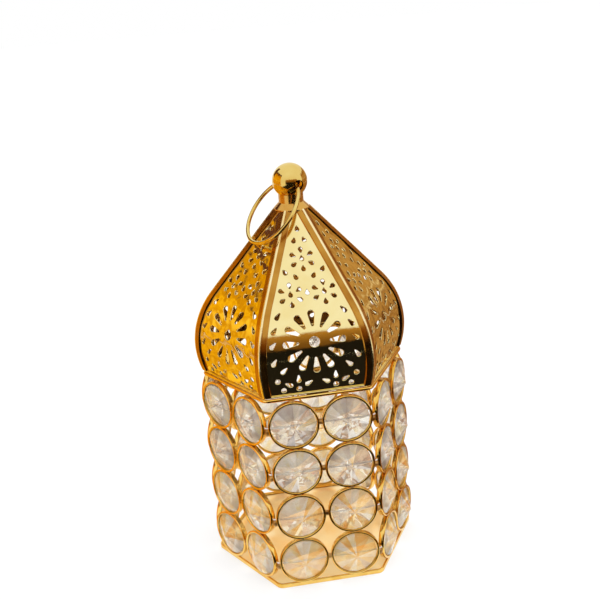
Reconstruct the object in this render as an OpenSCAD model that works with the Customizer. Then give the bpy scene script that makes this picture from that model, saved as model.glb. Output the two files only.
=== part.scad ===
// Hexagonal crystal lantern with a pierced sheet dome, a ball finial and a hanging ring.
// The six walls are grids of round brass rings, each holding a bored glass crystal on a wire.
// The dome opens on a rear hinge. Origin: centre of the underside. +Z is up, -Y is the front.
// Piercing the curved dome panels square to the sheet is the part of the model that takes most skill.

/* [Crystal rings] */
// Distance between the centres of the two rings of one row
ring_pitch = 19.5; // [19:0.1:24]
// Outside diameter of one ring
ring_od = 18.5; // [16:0.1:18.6]
// Wall of a ring
ring_wall = 0.9; // [0.7:0.1:1.5]
// Depth of a ring, square to the lantern's wall
ring_depth = 2.2; // [1.6:0.1:2.6]
// Rows of rings
ring_rows = 4; // [2:1:6]
// Gap between two rings of one column, closed by a braze spot
ring_gap = 0.1; // [0.05:0.05:0.3]
// Room from the outermost point of a ring to the corner line of the body
corner_room = 0.66; // [0.6:0.01:1.5]

/* [Crystals] */
// Room between a crystal and the inside of its ring
crystal_room = 0.25; // [0.15:0.05:0.6]
// Half of the thickness of a crystal, from its middle to its point
crystal_rise = 3.8; // [2.5:0.1:4.5]
// Half of the height of the upright band round a crystal
crystal_band = 0.65; // [0.55:0.05:1]
// Facets of each cone of a crystal
crystal_facets = 12; // [8:2:12]

/* [Threading wire] */
// Diameter of the wire that carries a row of crystals
wire_d = 0.6; // [0.4:0.05:0.7]
// Diameter of the holes for the wire
wire_hole_d = 1; // [0.8:0.05:1.1]
// Bend radius of the wire at the corners of the lantern
wire_bend_r = 1.2; // [0.8:0.1:1.2]

/* [Base tray] */
// How far the tray reaches past the middle plane of the rings
base_margin = 0.35; // [0:0.05:1]
// Thickness of the floor
base_sheet = 0.8; // [0.5:0.1:1.5]
// Height of the lip, from the ground
base_lip_h = 1.8; // [1.4:0.1:3]
// Thickness of the lip
base_lip_w = 0.9; // [0.6:0.1:1.4]
// Corner radius of the tray
base_corner_r = 3; // [2:0.5:6]

/* [Top rim] */
// Diameter of the rim rod on the top rings
rim_d = 1.4; // [1.2:0.1:2.4]
// How far the rod's middle lies inside the middle plane of the rings
rim_inset = 1; // [0.2:0.1:1.2]
// Bend radius of the rim rod at its corners
rim_bend_r = 3; // [2:0.5:5]

/* [Dome] */
// How far the widest line of the dome lies outside the middle plane of the rings
dome_proud = 0.45; // [0:0.05:2]
// Height of the widest line above the panels' lower edge
dome_bulge_rise = 9.9; // [8:0.1:11]
// Radius of the curved lower part of a panel, seen from the side
dome_bulge_r = 33; // [30:0.5:36]
// Tilt of the straight upper part of a panel from the upright
dome_slope = 37.6; // [35:0.2:41]
// Thickness of the dome sheet
dome_sheet = 0.6; // [0.4:0.1:0.8]
// Gap between neighbouring panels under a rib
panel_gap = 0.2; // [0.1:0.05:0.5]
// Clearance between the closed dome and the rim rod
dome_rest_gap = 0.3; // [0.3:0.05:0.6]

/* [Dome ribs] */
// Width of a rib over both of its flanges
rib_w = 4.4; // [3:0.2:6]
// Thickness of a rib
rib_sheet = 0.7; // [0.5:0.1:1]

/* [Dome hem] */
// Thickness of the flat flange
hem_sheet = 0.6; // [0.4:0.1:1]
// How far the flange stands proud of the panels
hem_proud = 0.5; // [0.3:0.1:1]
// Width of the flange
hem_w = 2.7; // [2.2:0.1:4]
// Height of the upstand inside the panels
hem_upstand_h = 1; // [0.8:0.1:4]
// Corner radius of the hem
hem_corner_r = 2; // [1.5:0.5:4]

/* [Piercing] */
// Height of the sunburst's centre along the panel
sun_rise = 19.1; // [17:0.1:21]
// Petals of the sunburst
sun_petals = 12; // [8:1:14]
// Distance from the sunburst's centre to the middle of a petal's inner end
sun_root_r = 5.9; // [5:0.1:7]
// Distance from the sunburst's centre to the middle of a petal's outer end
sun_tip_r = 10; // [9:0.1:11]
// Radius of a petal's outer end
sun_petal_r = 1.2; // [0.7:0.05:1.3]
// Radius of a petal's inner end
sun_petal_root_r = 0.45; // [0.3:0.05:0.7]
// Diameter of the hole in the middle of the sunburst
sun_hole_d = 3.8; // [3:0.1:6]
// Distance from a rosette's centre to its drops
rosette_r = 3.85; // [3:0.05:4.2]
// Drops of a rosette
rosette_drops = 6; // [5:1:6]
// Half of the distance between the two rosettes that stand side by side
rosette_offset = 6; // [5.5:0.1:6.5]
// Radius of a drop's round end
drop_r = 0.8; // [0.4:0.05:0.9]
// Length of an upper drop between the middles of its two ends
drop_l = 1.15; // [0.9:0.05:1.5]
// Length of a lower drop between the middles of its two ends
lower_drop_l = 1.9; // [1:0.05:2.2]
// Radius of a drop's pointed end
drop_point_r = 0.25; // [0.15:0.05:0.3]
// Half of the width over the outermost drops
field_half_w = 15.1; // [14:0.1:15.5]
// Diameter of the round dots
dot_d = 1.9; // [1:0.1:2]
// Distance of the half rosettes' centres above the lower edge
edge_flower_rise = 2.1; // [1.8:0.1:3]
// Distance of the half rosettes' centres from the middle of the panel
edge_flower_offset = 6.6; // [6:0.1:8]
// Distance from a half rosette's centre to the round ends of its drops
edge_flower_r = 3.4; // [3:0.1:4]

/* [Crown] */
// Outside diameter of the collar
collar_d = 9.2; // [7:0.2:11]
// Wall of the collar
collar_wall = 0.9; // [0.6:0.1:1.4]
// Length of the collar inside the dome
collar_tail = 1.5; // [1:0.1:4]
// How far the collar's flare reaches past its tube
flare_w = 2; // [1:0.1:3]
// Height of the collar's flare
flare_h = 2.4; // [1:0.1:3]
// Edge thickness of the flare
flare_edge = 0.4; // [0.2:0.1:0.8]
// Diameter of the ball
ball_d = 12.9; // [11:0.1:16]
// Wall of the hollow ball
ball_wall = 0.9; // [0.6:0.1:1.5]
// Height of the ball's centre above the panel tops
ball_rise = 10.1; // [9.6:0.1:13]
// Diameter of the cross hole in the ball
ball_hole_d = 4.2; // [3.6:0.1:5]
// How far the cross hole lies below the ball's centre
ball_hole_drop = 1; // [0:0.1:1.5]
// Turn of the cross hole from the front towards the right
ball_hole_turn = 21; // [0:1:45]

/* [Hanging ring] */
// Middle diameter of the hanging ring
loop_d = 26; // [24:0.5:30]
// Diameter of its wire
loop_wire_d = 1.5; // [1.2:0.1:1.8]
// Angle of the ring below the level where it lies on the dome
loop_dip = 49; // [0:1:49]

/* [Hinge] */
// Diameter of the knuckles
knuckle_d = 2.8; // [2.6:0.1:3.4]
// Diameter of the pin
hinge_pin_d = 1.5; // [1.2:0.05:1.6]
// Running clearance round the pin, on the radius
hinge_run = 0.05; // [0.02:0.01:0.1]
// Length of the middle knuckle
knuckle_mid_l = 6; // [4:0.5:10]
// Length of each end knuckle
knuckle_end_l = 3.6; // [2:0.2:6]
// Gap between knuckles
knuckle_gap = 0.15; // [0.1:0.05:0.4]
// Thickness of the leaves
leaf_sheet = 0.7; // [0.5:0.1:1]
// Height of the dome leaf above the hem
leaf_h = 8.4; // [6:0.2:10]
// Diameter of the pin's heads
pin_head_d = 2.2; // [2:0.1:2.6]
// Thickness of the pin's heads
pin_head_l = 0.5; // [0.3:0.1:1]

/* [Catch] */
// Width of the catch tongue
catch_w = 8; // [5:0.5:12]
// Thickness of the tongue
catch_sheet = 0.5; // [0.3:0.1:0.6]
// Length of the tongue below the hem
catch_l = 2; // [1.8:0.1:4]
// Clearance between the tongue and the rim rod
catch_gap = 0.3; // [0.3:0.05:0.5]

/* [Hidden] */

$fn = 48;
small_fn = 16;
// Steps of the arcs that are drawn as outlines
arc_steps = 24;
drop_steps = 6;
point_steps = 2;

sides = 6;
face_turn = 360 / sides;
half_turn = face_turn / 2;
rear_face = 4;
front_face = 1;

// One overrun serves every cut
overrun = 1;
// Braze joints end this far from the piece that they touch
joint_gap = 0.02;
// Rings stand this far above the tray's lip, and below the rim rod
seat_gap = 0.05;

// Body
ring_r = ring_od / 2;
face_half = ring_pitch / 2 + ring_r + corner_room;
body_apothem = face_half / tan(half_turn);
body_corner_r = face_half / sin(half_turn);
row_pitch = ring_od + ring_gap;
first_row_z = base_lip_h + seat_gap + ring_r;
ring_top_z = first_row_z + (ring_rows - 1) * row_pitch + ring_r;
column_gap = ring_pitch - ring_od;
base_apothem = body_apothem + base_margin;
crystal_r = ring_r - ring_wall - crystal_room;

// Braze spots reach a share of the ring's wall
braze_bite_share = 0.85;
column_braze_r = column_gap / 2 + ring_wall * braze_bite_share * 0.7;
row_braze_r = ring_wall * braze_bite_share + ring_gap / 2;
corner_bead_r = wire_hole_d * 1.25;
corner_bead_drop = wire_d / 2 + corner_bead_r + seat_gap * 3;

// Rim and hem
rim_apothem = body_apothem - rim_inset;
rim_z = ring_top_z + seat_gap + rim_d / 2;
hem_z = rim_z + rim_d / 2 + dome_rest_gap;

// Dome profile: an arc up to its tangent, then a straight line
dome_bulge_apothem = body_apothem + dome_proud;
panel_z = hem_z + hem_sheet;
bulge_z = panel_z + dome_bulge_rise;
arc_x = dome_bulge_apothem - dome_bulge_r;
arc_start = -asin(dome_bulge_rise / dome_bulge_r);
arc_run = dome_bulge_r * (dome_slope - arc_start) * PI / 180;
tangent_x = arc_x + dome_bulge_r * cos(dome_slope);
tangent_z = bulge_z + dome_bulge_r * sin(dome_slope);
sheet_level_w = dome_sheet / cos(dome_slope);
top_apothem = collar_d / 2 + seat_gap + sheet_level_w;
line_run = (tangent_x - top_apothem) / sin(dome_slope);
panel_run = arc_run + line_run;
dome_top_z = tangent_z + line_run * cos(dome_slope);
hem_apothem = arc_x + dome_bulge_r * cos(arc_start);
hem_inner_apothem = arc_x + sqrt(pow(dome_bulge_r - dome_sheet, 2) - pow(dome_bulge_rise, 2));
hem_outer_apothem = hem_apothem + hem_proud;
dome_reach = dome_bulge_apothem / cos(half_turn) + rib_sheet + overrun;

// Crown
ball_r = ball_d / 2;
ball_z = dome_top_z + ball_rise;
hole_z = ball_z - ball_hole_drop;
loop_r = loop_d / 2;
// The ring's wire bows inside the ball, so its middle line is set half of that bow off the hole's axis
loop_bow = loop_r - sqrt(loop_r * loop_r - ball_r * ball_r);
loop_offset = loop_r - loop_bow / 2;

// Hinge
knuckle_r = knuckle_d / 2;
rim_outer_apothem = rim_apothem + rim_d / 2;
hinge_x = rim_outer_apothem + knuckle_r + seat_gap * 2;
hinge_z = hem_z - seat_gap * 3;
end_knuckle_u = knuckle_mid_l / 2 + knuckle_gap + knuckle_end_l / 2;
leaf_w = knuckle_mid_l + 2 * (knuckle_gap + knuckle_end_l);
leaf_x = dome_bulge_apothem + seat_gap * 2;

// Places of the single drops and dots of one half of a panel, as shares of the field's half width
// and of the panel's length, with the way that the drop points in degrees
upper_drop_shares = [[0.13, 0.829, 110], [0.44, 0.658, 60], [0.205, 0.627, 60]];
lower_drop_shares = [[0.8, 0.422, 130], [0.93, 0.348, 130], [1, 0.277, 140], [1, 0.186, 125],
    [0.8, 0.139, 140]];
middle_drop_shares = [[0, 0.894, 90], [0, 0.538, 90]];
dot_shares = [[0.93, 0.088], [0.8, 0.03]];
rosette_shares = [[0, 0.726], [1, 0.535], [-1, 0.535]];

// Turns its children from the +X side to face k, where face 1 is the front
module on_face(k) { rotate([0, 0, 270 + (k - 1) * face_turn]) children(); }

// Hexagon with round corners, its flats towards the faces
module rounded_hexagon(apothem, corner_r) {
    inner_corner = (apothem - corner_r) / cos(half_turn);
    turns = [for (i = [0:sides - 1]) i * face_turn];
    union() {
        polygon([for (t = turns, h = [-half_turn, half_turn])
            [inner_corner * cos(t) + corner_r * cos(t + h), inner_corner * sin(t) + corner_r * sin(t + h)]]);
        for (t = turns) translate([inner_corner * cos(t), inner_corner * sin(t)]) circle(r = corner_r);
    }
}

// Rod bent round its corners into a hexagon, with a slight bead where each straight meets a bend
module hexagon_rod(apothem, bend_r, rod_r) {
    inner_corner = (apothem - bend_r) / cos(half_turn);
    for (k = [1:sides]) {
        on_face(k) translate([apothem, 0, 0]) {
            rotate([90, 0, 0])
                cylinder(h = inner_corner - 2 * joint_gap, r = rod_r, center = true, $fn = small_fn * 2);
            for (side = [-1, 1]) translate([0, side * inner_corner / 2, 0])
                sphere(r = rod_r + joint_gap * 2, $fn = small_fn * 2);
        }
        rotate([0, 0, k * face_turn]) translate([inner_corner, 0, 0]) rotate([0, 0, -half_turn])
            rotate_extrude(angle = face_turn) translate([bend_r, 0]) circle(r = rod_r, $fn = small_fn * 2);
    }
}

function row_z(row) = first_row_z + row * row_pitch;
function column_u(column) = (column - 0.5) * ring_pitch;

// Places its children at each ring of a face, with the children's axis square to the face
module at_rings() {
    for (row = [0:ring_rows - 1], column = [0, 1])
        translate([body_apothem, column_u(column), row_z(row)]) rotate([0, 90, 0]) children();
}

module wire_bores() {
    for (row = [0:ring_rows - 1]) translate([body_apothem, 0, row_z(row)]) rotate([90, 0, 0])
        cylinder(h = 2 * face_half, r = wire_hole_d / 2, center = true, $fn = small_fn);
}

module base_tray() {
    color([0.86, 0.62, 0.2]) difference() {
        linear_extrude(base_lip_h) rounded_hexagon(base_apothem, base_corner_r);
        translate([0, 0, base_sheet]) linear_extrude(base_lip_h)
            rounded_hexagon(base_apothem - base_lip_w, base_corner_r - base_lip_w);
    }
}

module ring_panel(k) {
    color([0.84, 0.6, 0.18]) on_face(k) difference() {
        union() {
            at_rings() cylinder(h = ring_depth, r = ring_r, center = true);
            for (row = [0:ring_rows - 1])
                translate([body_apothem, 0, row_z(row)]) sphere(r = column_braze_r, $fn = small_fn * 2);
            for (row = [0:ring_rows], column = [0, 1])
                translate([body_apothem, column_u(column), row_z(row) - row_pitch / 2])
                    sphere(r = row_braze_r, $fn = small_fn * 2);
        }
        at_rings() cylinder(h = ring_depth + 2 * overrun, r = ring_r - ring_wall, center = true);
        wire_bores();
        translate([body_apothem, 0, base_lip_h - overrun])
            cube([ring_depth + 2 * overrun, 2 * face_half, 2 * overrun], center = true);
        translate([rim_apothem, 0, rim_z]) rotate([90, 0, 0])
            cylinder(h = 2 * face_half, r = rim_d / 2 + joint_gap, center = true, $fn = small_fn * 2);
    }
}

// Double cone with flat facets round an upright band, seen along its axis
module crystal() {
    rotate([0, 0, 180 / crystal_facets]) rotate_extrude($fn = crystal_facets)
        polygon([[0, -crystal_rise], [crystal_r, -crystal_band], [crystal_r, crystal_band], [0, crystal_rise]]);
}

module crystals(k) {
    color([0.86, 0.84, 0.86]) on_face(k) difference() {
        at_rings() crystal();
        wire_bores();
    }
}

module string_wire(row) {
    color([0.8, 0.8, 0.8]) translate([0, 0, row_z(row - 1)])
        hexagon_rod(body_apothem, wire_bend_r, wire_d / 2);
}

module corner_solder() {
    color([0.75, 0.5, 0.2]) for (k = [1:sides], row = [0:ring_rows - 1]) difference() {
        rotate([0, 0, k * face_turn])
            translate([body_corner_r - corner_bead_r / 2, 0, row_z(row) - corner_bead_drop])
                sphere(r = corner_bead_r, $fn = small_fn * 2);
        for (side = [-1, 1]) rotate([0, 0, k * face_turn + side * half_turn])
            translate([body_apothem, -side * ring_pitch / 2, row_z(row)]) rotate([0, 90, 0])
                cylinder(h = ring_depth + 2 * overrun, r = ring_r + joint_gap, center = true);
    }
}

module top_rim() {
    color([0.84, 0.6, 0.18]) translate([0, 0, rim_z]) hexagon_rod(rim_apothem, rim_bend_r, rim_d / 2);
}

// Half section of the dome in apothem and height, its outline moved out by out_by
module dome_section(out_by) {
    r = dome_bulge_r + out_by;
    low_z = panel_z - overrun;
    start = asin((low_z - bulge_z) / r);
    arc = [for (i = [0:arc_steps]) let (a = start + (dome_slope - start) * i / arc_steps)
        [arc_x + r * cos(a), bulge_z + r * sin(a)]];
    run = line_run + overrun * 4;
    end_x = arc_x + r * cos(dome_slope) - run * sin(dome_slope);
    end_z = bulge_z + r * sin(dome_slope) + run * cos(dome_slope);
    polygon(concat([[0, low_z]], arc, [[end_x, end_z], [0, end_z]]));
}

// The section drawn out along face k, wider than the face
module dome_slab(k, out_by) {
    on_face(k) rotate([90, 0, 0]) linear_extrude(2 * dome_reach, center = true) dome_section(out_by);
}

// Sector of the plan that belongs to one face, from the hem up to the panel tops
module face_sector(k) {
    half_w = dome_reach * tan(half_turn);
    on_face(k) translate([panel_gap / 2 / sin(half_turn), 0, panel_z])
        linear_extrude(dome_top_z - panel_z) polygon([[0, 0], [dome_reach, -half_w], [dome_reach, half_w]]);
}

// Tilt, apothem and height of the sheet at a distance s along the panel from its lower edge
function sheet_tilt(s) = s < arc_run ? arc_start + s / dome_bulge_r * 180 / PI : dome_slope;
function sheet_x(s) = s < arc_run ? arc_x + dome_bulge_r * cos(sheet_tilt(s))
    : tangent_x - (s - arc_run) * sin(dome_slope);
function sheet_z(s) = s < arc_run ? bulge_z + dome_bulge_r * sin(sheet_tilt(s))
    : tangent_z + (s - arc_run) * cos(dome_slope);

// Cuts its flat child through the sheet at (u, s), square to it
module pierce(u, s) {
    translate([sheet_x(s), u, sheet_z(s)]) rotate([0, -sheet_tilt(s), 0]) rotate([90, 0, 90])
        translate([0, 0, -dome_sheet - overrun]) linear_extrude(dome_sheet + 2 * overrun) children();
}

// Points of an arc of radius r round [x, 0]
function arc_points(x, r, from, to, steps) = [for (i = [0:steps])
    let (a = from + (to - from) * i / steps) [x + r * cos(a), r * sin(a)]];

// Drop whose big round end is at the origin and whose small end lies at distance l along angle turn
module drop(l, big_r, small_r, turn) {
    lean = asin((big_r - small_r) / l);
    rotate(turn + 180) polygon(concat(arc_points(0, big_r, -90 - lean, 90 + lean, drop_steps),
        arc_points(-l, small_r, 90 + lean, 270 - lean, point_steps)));
}

module small_drop(turn) { drop(drop_l, drop_r, drop_point_r, turn); }

module lower_drop(turn) { drop(lower_drop_l, drop_r, drop_point_r, turn); }

// Ring of drops round a middle drop, their points to the middle
module rosette(u, s) {
    pierce(u, s) small_drop(90);
    for (i = [1:rosette_drops]) {
        a = 90 + i * 360 / rosette_drops;
        pierce(u + rosette_r * cos(a), s + rosette_r * sin(a)) small_drop(a + 180);
    }
}

// Three drops that spread upwards from a dot
module edge_flower(u, s) {
    pierce(u, s) circle(d = dot_d, $fn = small_fn);
    for (i = [-1:1]) {
        a = 90 + i * 360 / rosette_drops;
        pierce(u + edge_flower_r * cos(a), s + edge_flower_r * sin(a)) lower_drop(a);
    }
}

module sunburst() {
    pierce(0, sun_rise) circle(d = sun_hole_d, $fn = small_fn * 2);
    for (i = [1:sun_petals]) {
        a = 90 + i * 360 / sun_petals;
        pierce(sun_tip_r * cos(a), sun_rise + sun_tip_r * sin(a))
            drop(sun_tip_r - sun_root_r, sun_petal_r, sun_petal_root_r, a + 180);
    }
}

module piercing() {
    sunburst();
    for (p = rosette_shares) rosette(p[0] * rosette_offset, p[1] * panel_run);
    for (p = middle_drop_shares) pierce(p[0] * field_half_w, p[1] * panel_run) small_drop(p[2]);
    for (side = [-1, 1]) {
        for (p = upper_drop_shares) pierce(side * p[0] * field_half_w, p[1] * panel_run)
            small_drop(side > 0 ? p[2] : 180 - p[2]);
        for (p = lower_drop_shares) pierce(side * p[0] * field_half_w, p[1] * panel_run)
            lower_drop(side > 0 ? p[2] : 180 - p[2]);
        for (p = dot_shares) pierce(side * p[0] * field_half_w, p[1] * panel_run)
            circle(d = dot_d, $fn = small_fn);
        edge_flower(side * edge_flower_offset, edge_flower_rise);
    }
}

module dome_panel(k) {
    color([0.88, 0.66, 0.22]) difference() {
        intersection() {
            face_sector(k);
            dome_slab(k, 0);
        }
        dome_slab(k, -dome_sheet);
        on_face(k) piercing();
    }
}

// Folded strip over the joint between face k and the next face
module dome_rib(k) {
    color([0.7, 0.46, 0.14]) difference() {
        intersection() {
            on_face(k) rotate([0, 0, half_turn]) translate([collar_d / 2, -rib_w / 2, panel_z])
                cube([dome_reach, rib_w, dome_top_z - panel_z]);
            dome_slab(k, rib_sheet);
            dome_slab(k + 1, rib_sheet);
        }
        intersection() {
            dome_slab(k, joint_gap);
            dome_slab(k + 1, joint_gap);
        }
    }
}

module dome_hem() {
    upstand_apothem = hem_inner_apothem - seat_gap * 3;
    color([0.9, 0.7, 0.3]) translate([0, 0, hem_z]) difference() {
        union() {
            linear_extrude(hem_sheet) rounded_hexagon(hem_outer_apothem, hem_corner_r);
            linear_extrude(hem_sheet + hem_upstand_h) rounded_hexagon(upstand_apothem, hem_corner_r);
        }
        translate([0, 0, -overrun]) linear_extrude(hem_sheet + overrun * 2)
            rounded_hexagon(hem_outer_apothem - hem_w, hem_corner_r - hem_sheet);
        translate([0, 0, hem_sheet]) linear_extrude(hem_upstand_h + overrun)
            rounded_hexagon(upstand_apothem - hem_sheet, hem_corner_r - hem_sheet);
    }
}

module crown_collar() {
    tube_r = collar_d / 2;
    flare_r = tube_r + flare_w;
    flare_z = dome_top_z + seat_gap;
    color([0.86, 0.62, 0.2]) difference() {
        rotate_extrude() polygon([[tube_r - collar_wall, dome_top_z - collar_tail],
            [tube_r, dome_top_z - collar_tail], [tube_r, flare_z], [flare_r, flare_z],
            [flare_r, flare_z + flare_edge], [tube_r, flare_z + flare_h], [tube_r, ball_z],
            [tube_r - collar_wall, ball_z]]);
        translate([0, 0, ball_z]) sphere(r = ball_r + joint_gap, $fn = 64);
    }
}

module ball_finial() {
    color([0.9, 0.68, 0.25]) difference() {
        translate([0, 0, ball_z]) sphere(r = ball_r, $fn = 64);
        translate([0, 0, ball_z]) sphere(r = ball_r - ball_wall, $fn = 64);
        translate([0, 0, hole_z]) rotate([0, 0, ball_hole_turn]) rotate([90, 0, 0])
            cylinder(h = ball_d + 2 * overrun, r = ball_hole_d / 2, center = true);
    }
}

module hanging_ring() {
    color([0.92, 0.74, 0.34]) translate([0, 0, hole_z]) rotate([0, 0, ball_hole_turn])
        rotate([0, -loop_dip, 0]) translate([-loop_offset, 0, 0])
            rotate_extrude($fn = 96) translate([loop_r, 0]) circle(r = loop_wire_d / 2, $fn = 24);
}

module knuckle(l) {
    rotate([90, 0, 0]) cylinder(h = l, r = knuckle_r, center = true);
}

module pin_bore() {
    translate([hinge_x, 0, hinge_z]) rotate([90, 0, 0])
        cylinder(h = leaf_w + 2 * overrun, r = hinge_pin_d / 2 + hinge_run, center = true);
}

// End knuckles on short tabs that are brazed to the rear of the rim rod
module hinge_leaf_body() {
    tab_h = knuckle_r - hinge_pin_d / 2;
    color([0.8, 0.58, 0.2]) on_face(rear_face) difference() {
        for (side = [-1, 1]) translate([0, side * end_knuckle_u, 0]) {
            translate([hinge_x, 0, hinge_z]) knuckle(knuckle_end_l);
            translate([rim_apothem, -knuckle_end_l / 2, hinge_z - knuckle_r])
                cube([hinge_x - rim_apothem, knuckle_end_l, tab_h]);
        }
        pin_bore();
        translate([rim_apothem, 0, rim_z]) rotate([90, 0, 0])
            cylinder(h = 2 * face_half, r = rim_d / 2 + joint_gap, center = true, $fn = small_fn * 2);
    }
}

// Middle knuckle, foot on the hem's edge and upright plate against the rear panel
module hinge_leaf_dome() {
    foot_x = hem_outer_apothem + seat_gap;
    plate_z = hinge_z + knuckle_r + knuckle_gap;
    color([0.8, 0.58, 0.2]) on_face(rear_face) difference() {
        union() {
            translate([hinge_x, 0, hinge_z]) knuckle(knuckle_mid_l);
            translate([foot_x, -knuckle_mid_l / 2, hem_z + seat_gap * 2])
                cube([hinge_x - foot_x, knuckle_mid_l, leaf_sheet]);
            translate([leaf_x, -knuckle_mid_l / 2, hem_z + seat_gap * 2])
                cube([leaf_sheet, knuckle_mid_l, leaf_h]);
            translate([leaf_x, -leaf_w / 2, plate_z])
                cube([leaf_sheet, leaf_w, hem_z + seat_gap * 2 + leaf_h - plate_z]);
        }
        pin_bore();
    }
}

module hinge_pin() {
    head_gap = knuckle_gap / 3;
    color([0.62, 0.45, 0.2]) on_face(rear_face) translate([hinge_x, 0, hinge_z]) rotate([90, 0, 0]) union() {
        cylinder(h = leaf_w + 2 * head_gap, r = hinge_pin_d / 2, center = true);
        for (side = [-1, 1]) translate([0, 0, side * (leaf_w + 2 * head_gap + pin_head_l) / 2])
            cylinder(h = pin_head_l, r = pin_head_d / 2, center = true);
    }
}

// Springy tongue under the front of the hem, just inside the rim rod
module catch_tongue() {
    outer_x = rim_apothem - rim_d / 2 - catch_gap;
    foot_x = hem_outer_apothem - hem_w + seat_gap;
    color([0.8, 0.58, 0.2]) on_face(front_face) rotate([90, 0, 0])
        linear_extrude(catch_w, center = true)
            polygon([[foot_x, hem_z], [outer_x, hem_z], [outer_x, hem_z - catch_l],
                [outer_x - catch_sheet, hem_z - catch_l], [outer_x - catch_sheet, hem_z - catch_sheet],
                [foot_x, hem_z - catch_sheet]]);
}

base_tray();
for (k = [1:sides]) ring_panel(k);
for (k = [1:sides]) crystals(k);
for (row = [1:ring_rows]) string_wire(row);
corner_solder();
top_rim();
for (k = [1:sides]) dome_panel(k);
for (k = [1:sides]) dome_rib(k);
dome_hem();
crown_collar();
ball_finial();
hanging_ring();
hinge_leaf_body();
hinge_leaf_dome();
hinge_pin();
catch_tongue();
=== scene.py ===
"""Looks of the hexagonal crystal lantern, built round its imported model.

The tray, the ring walls, the crystals, the wires, the solder, the rim and the pierced dome with its
ribs are modelled here in finer form than the solids hold. The collar, the ball, the hanging ring, the
hinge and the catch keep their solids. Lengths are in metres.
"""

import logging
import math
from dataclasses import dataclass, field
from enum import Enum
from typing import Callable, ClassVar, Iterable, Sequence

import bmesh
import bpy
import numpy as np
from mathutils import Matrix, Vector
from mathutils.geometry import delaunay_2d_cdt


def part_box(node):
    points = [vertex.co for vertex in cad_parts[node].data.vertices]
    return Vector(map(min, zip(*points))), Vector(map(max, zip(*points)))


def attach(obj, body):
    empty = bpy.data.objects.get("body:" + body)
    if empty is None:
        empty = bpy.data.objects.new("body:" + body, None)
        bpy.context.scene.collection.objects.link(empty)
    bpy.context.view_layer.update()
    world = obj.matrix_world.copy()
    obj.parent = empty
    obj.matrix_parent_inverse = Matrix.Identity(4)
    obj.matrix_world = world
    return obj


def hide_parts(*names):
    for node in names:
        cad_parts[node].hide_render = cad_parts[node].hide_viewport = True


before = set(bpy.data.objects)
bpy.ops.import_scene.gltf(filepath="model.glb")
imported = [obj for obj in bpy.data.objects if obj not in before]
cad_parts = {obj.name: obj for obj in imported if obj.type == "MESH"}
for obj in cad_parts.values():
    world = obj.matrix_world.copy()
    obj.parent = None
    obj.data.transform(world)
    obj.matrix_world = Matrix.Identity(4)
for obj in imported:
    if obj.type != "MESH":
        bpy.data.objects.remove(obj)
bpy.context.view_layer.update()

LOG = logging.getLogger("lantern")
MM = 0.001
LEAST_CORNER = 0.02 * MM
SIDES = 6
FACE_TURN = math.tau / SIDES
HALF_TURN = FACE_TURN / 2
FRONT_TURN = 1.5 * math.pi

Point = tuple[float, float, float]
Colour = tuple[float, float, float]
Stops = Sequence[tuple[float, Colour]]


class Body(Enum):
    """Names of the rigid bodies that pieces ride on."""

    WALLS = "lantern_body"
    DOME = "dome"


class Slot(Enum):
    """Names of the record's material slots."""

    TRAY = "tray_brass"
    RINGS = "ring_brass"
    DOME = "dome_brass"
    RIBS = "rib_brass"
    CRYSTAL = "crystal_glass"
    WIRE = "tinned_wire"
    BRAZE = "braze"


def face_turn(face: int) -> Matrix:
    """Turn that takes the +X side to a face of the lantern.

    Args:
        face: Number of the face, from 1 at the front, counter-clockwise seen from above.

    Returns:
        The rotation about the upright axis.
    """
    return Matrix.Rotation(FRONT_TURN + (face - 1) * FACE_TURN, 4, "Z")


def corner_turn(face: int) -> Matrix:
    """Turn that takes the +X side to the corner between a face and the next one.

    Args:
        face: Number of the face before the corner.

    Returns:
        The rotation about the upright axis.
    """
    return Matrix.Rotation(FRONT_TURN + (face - 0.5) * FACE_TURN, 4, "Z")


def moved(points: np.ndarray, place: Matrix) -> np.ndarray:
    """Points carried by a matrix.

    Args:
        points: Array whose last axis holds x, y and z.
        place: The matrix that moves them.

    Returns:
        An array of the same shape.
    """
    turn = np.array(place.to_3x3())
    return points @ turn.T + np.array(place.translation)


def circle_points(radius: float, steps: int, start: float = 0.0) -> np.ndarray:
    """Points evenly spaced on a circle.

    Args:
        radius: Radius of the circle.
        steps: Number of points.
        start: Angle of the first point, in radians.

    Returns:
        An array of pairs.
    """
    angles = start + np.arange(steps) * math.tau / steps
    return radius * np.stack([np.cos(angles), np.sin(angles)], axis=1)


def rounded_box(width: float, height: float, radius: float, steps: int = 5) -> np.ndarray:
    """Outline of a rectangle with round corners, centred on the origin.

    Args:
        width: Size along the first axis.
        height: Size along the second axis.
        radius: Radius of the corners.
        steps: Steps of each corner.

    Returns:
        An array of pairs, counter-clockwise.
    """
    points = []
    for turn, (sx, sy) in enumerate([(1, 1), (-1, 1), (-1, -1), (1, -1)]):
        for i in range(steps + 1):
            angle = (turn + i / steps) * math.pi / 2
            points.append((sx * (width / 2 - radius) + radius * math.cos(angle),
                           sy * (height / 2 - radius) + radius * math.sin(angle)))
    return np.array(points)


def hexagon_loop(apothem: float, corner_radius: float, corner_steps: int = 6) -> np.ndarray:
    """Plan of a hexagon with round corners, its flats towards the faces.

    Args:
        apothem: Distance of the flats from the axis.
        corner_radius: Radius of the corners.
        corner_steps: Steps of each corner.

    Returns:
        An array of pairs with the same count for every apothem.
    """
    radius = max(corner_radius, LEAST_CORNER)
    middle = (apothem - radius) / math.cos(HALF_TURN)
    points = []
    for corner in range(SIDES):
        turn = (corner + 0.5) * FACE_TURN
        for i in range(corner_steps + 1):
            angle = turn - HALF_TURN + i * FACE_TURN / corner_steps
            points.append((middle * math.cos(turn) + radius * math.cos(angle),
                           middle * math.sin(turn) + radius * math.sin(angle)))
    return np.array(points)


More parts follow.
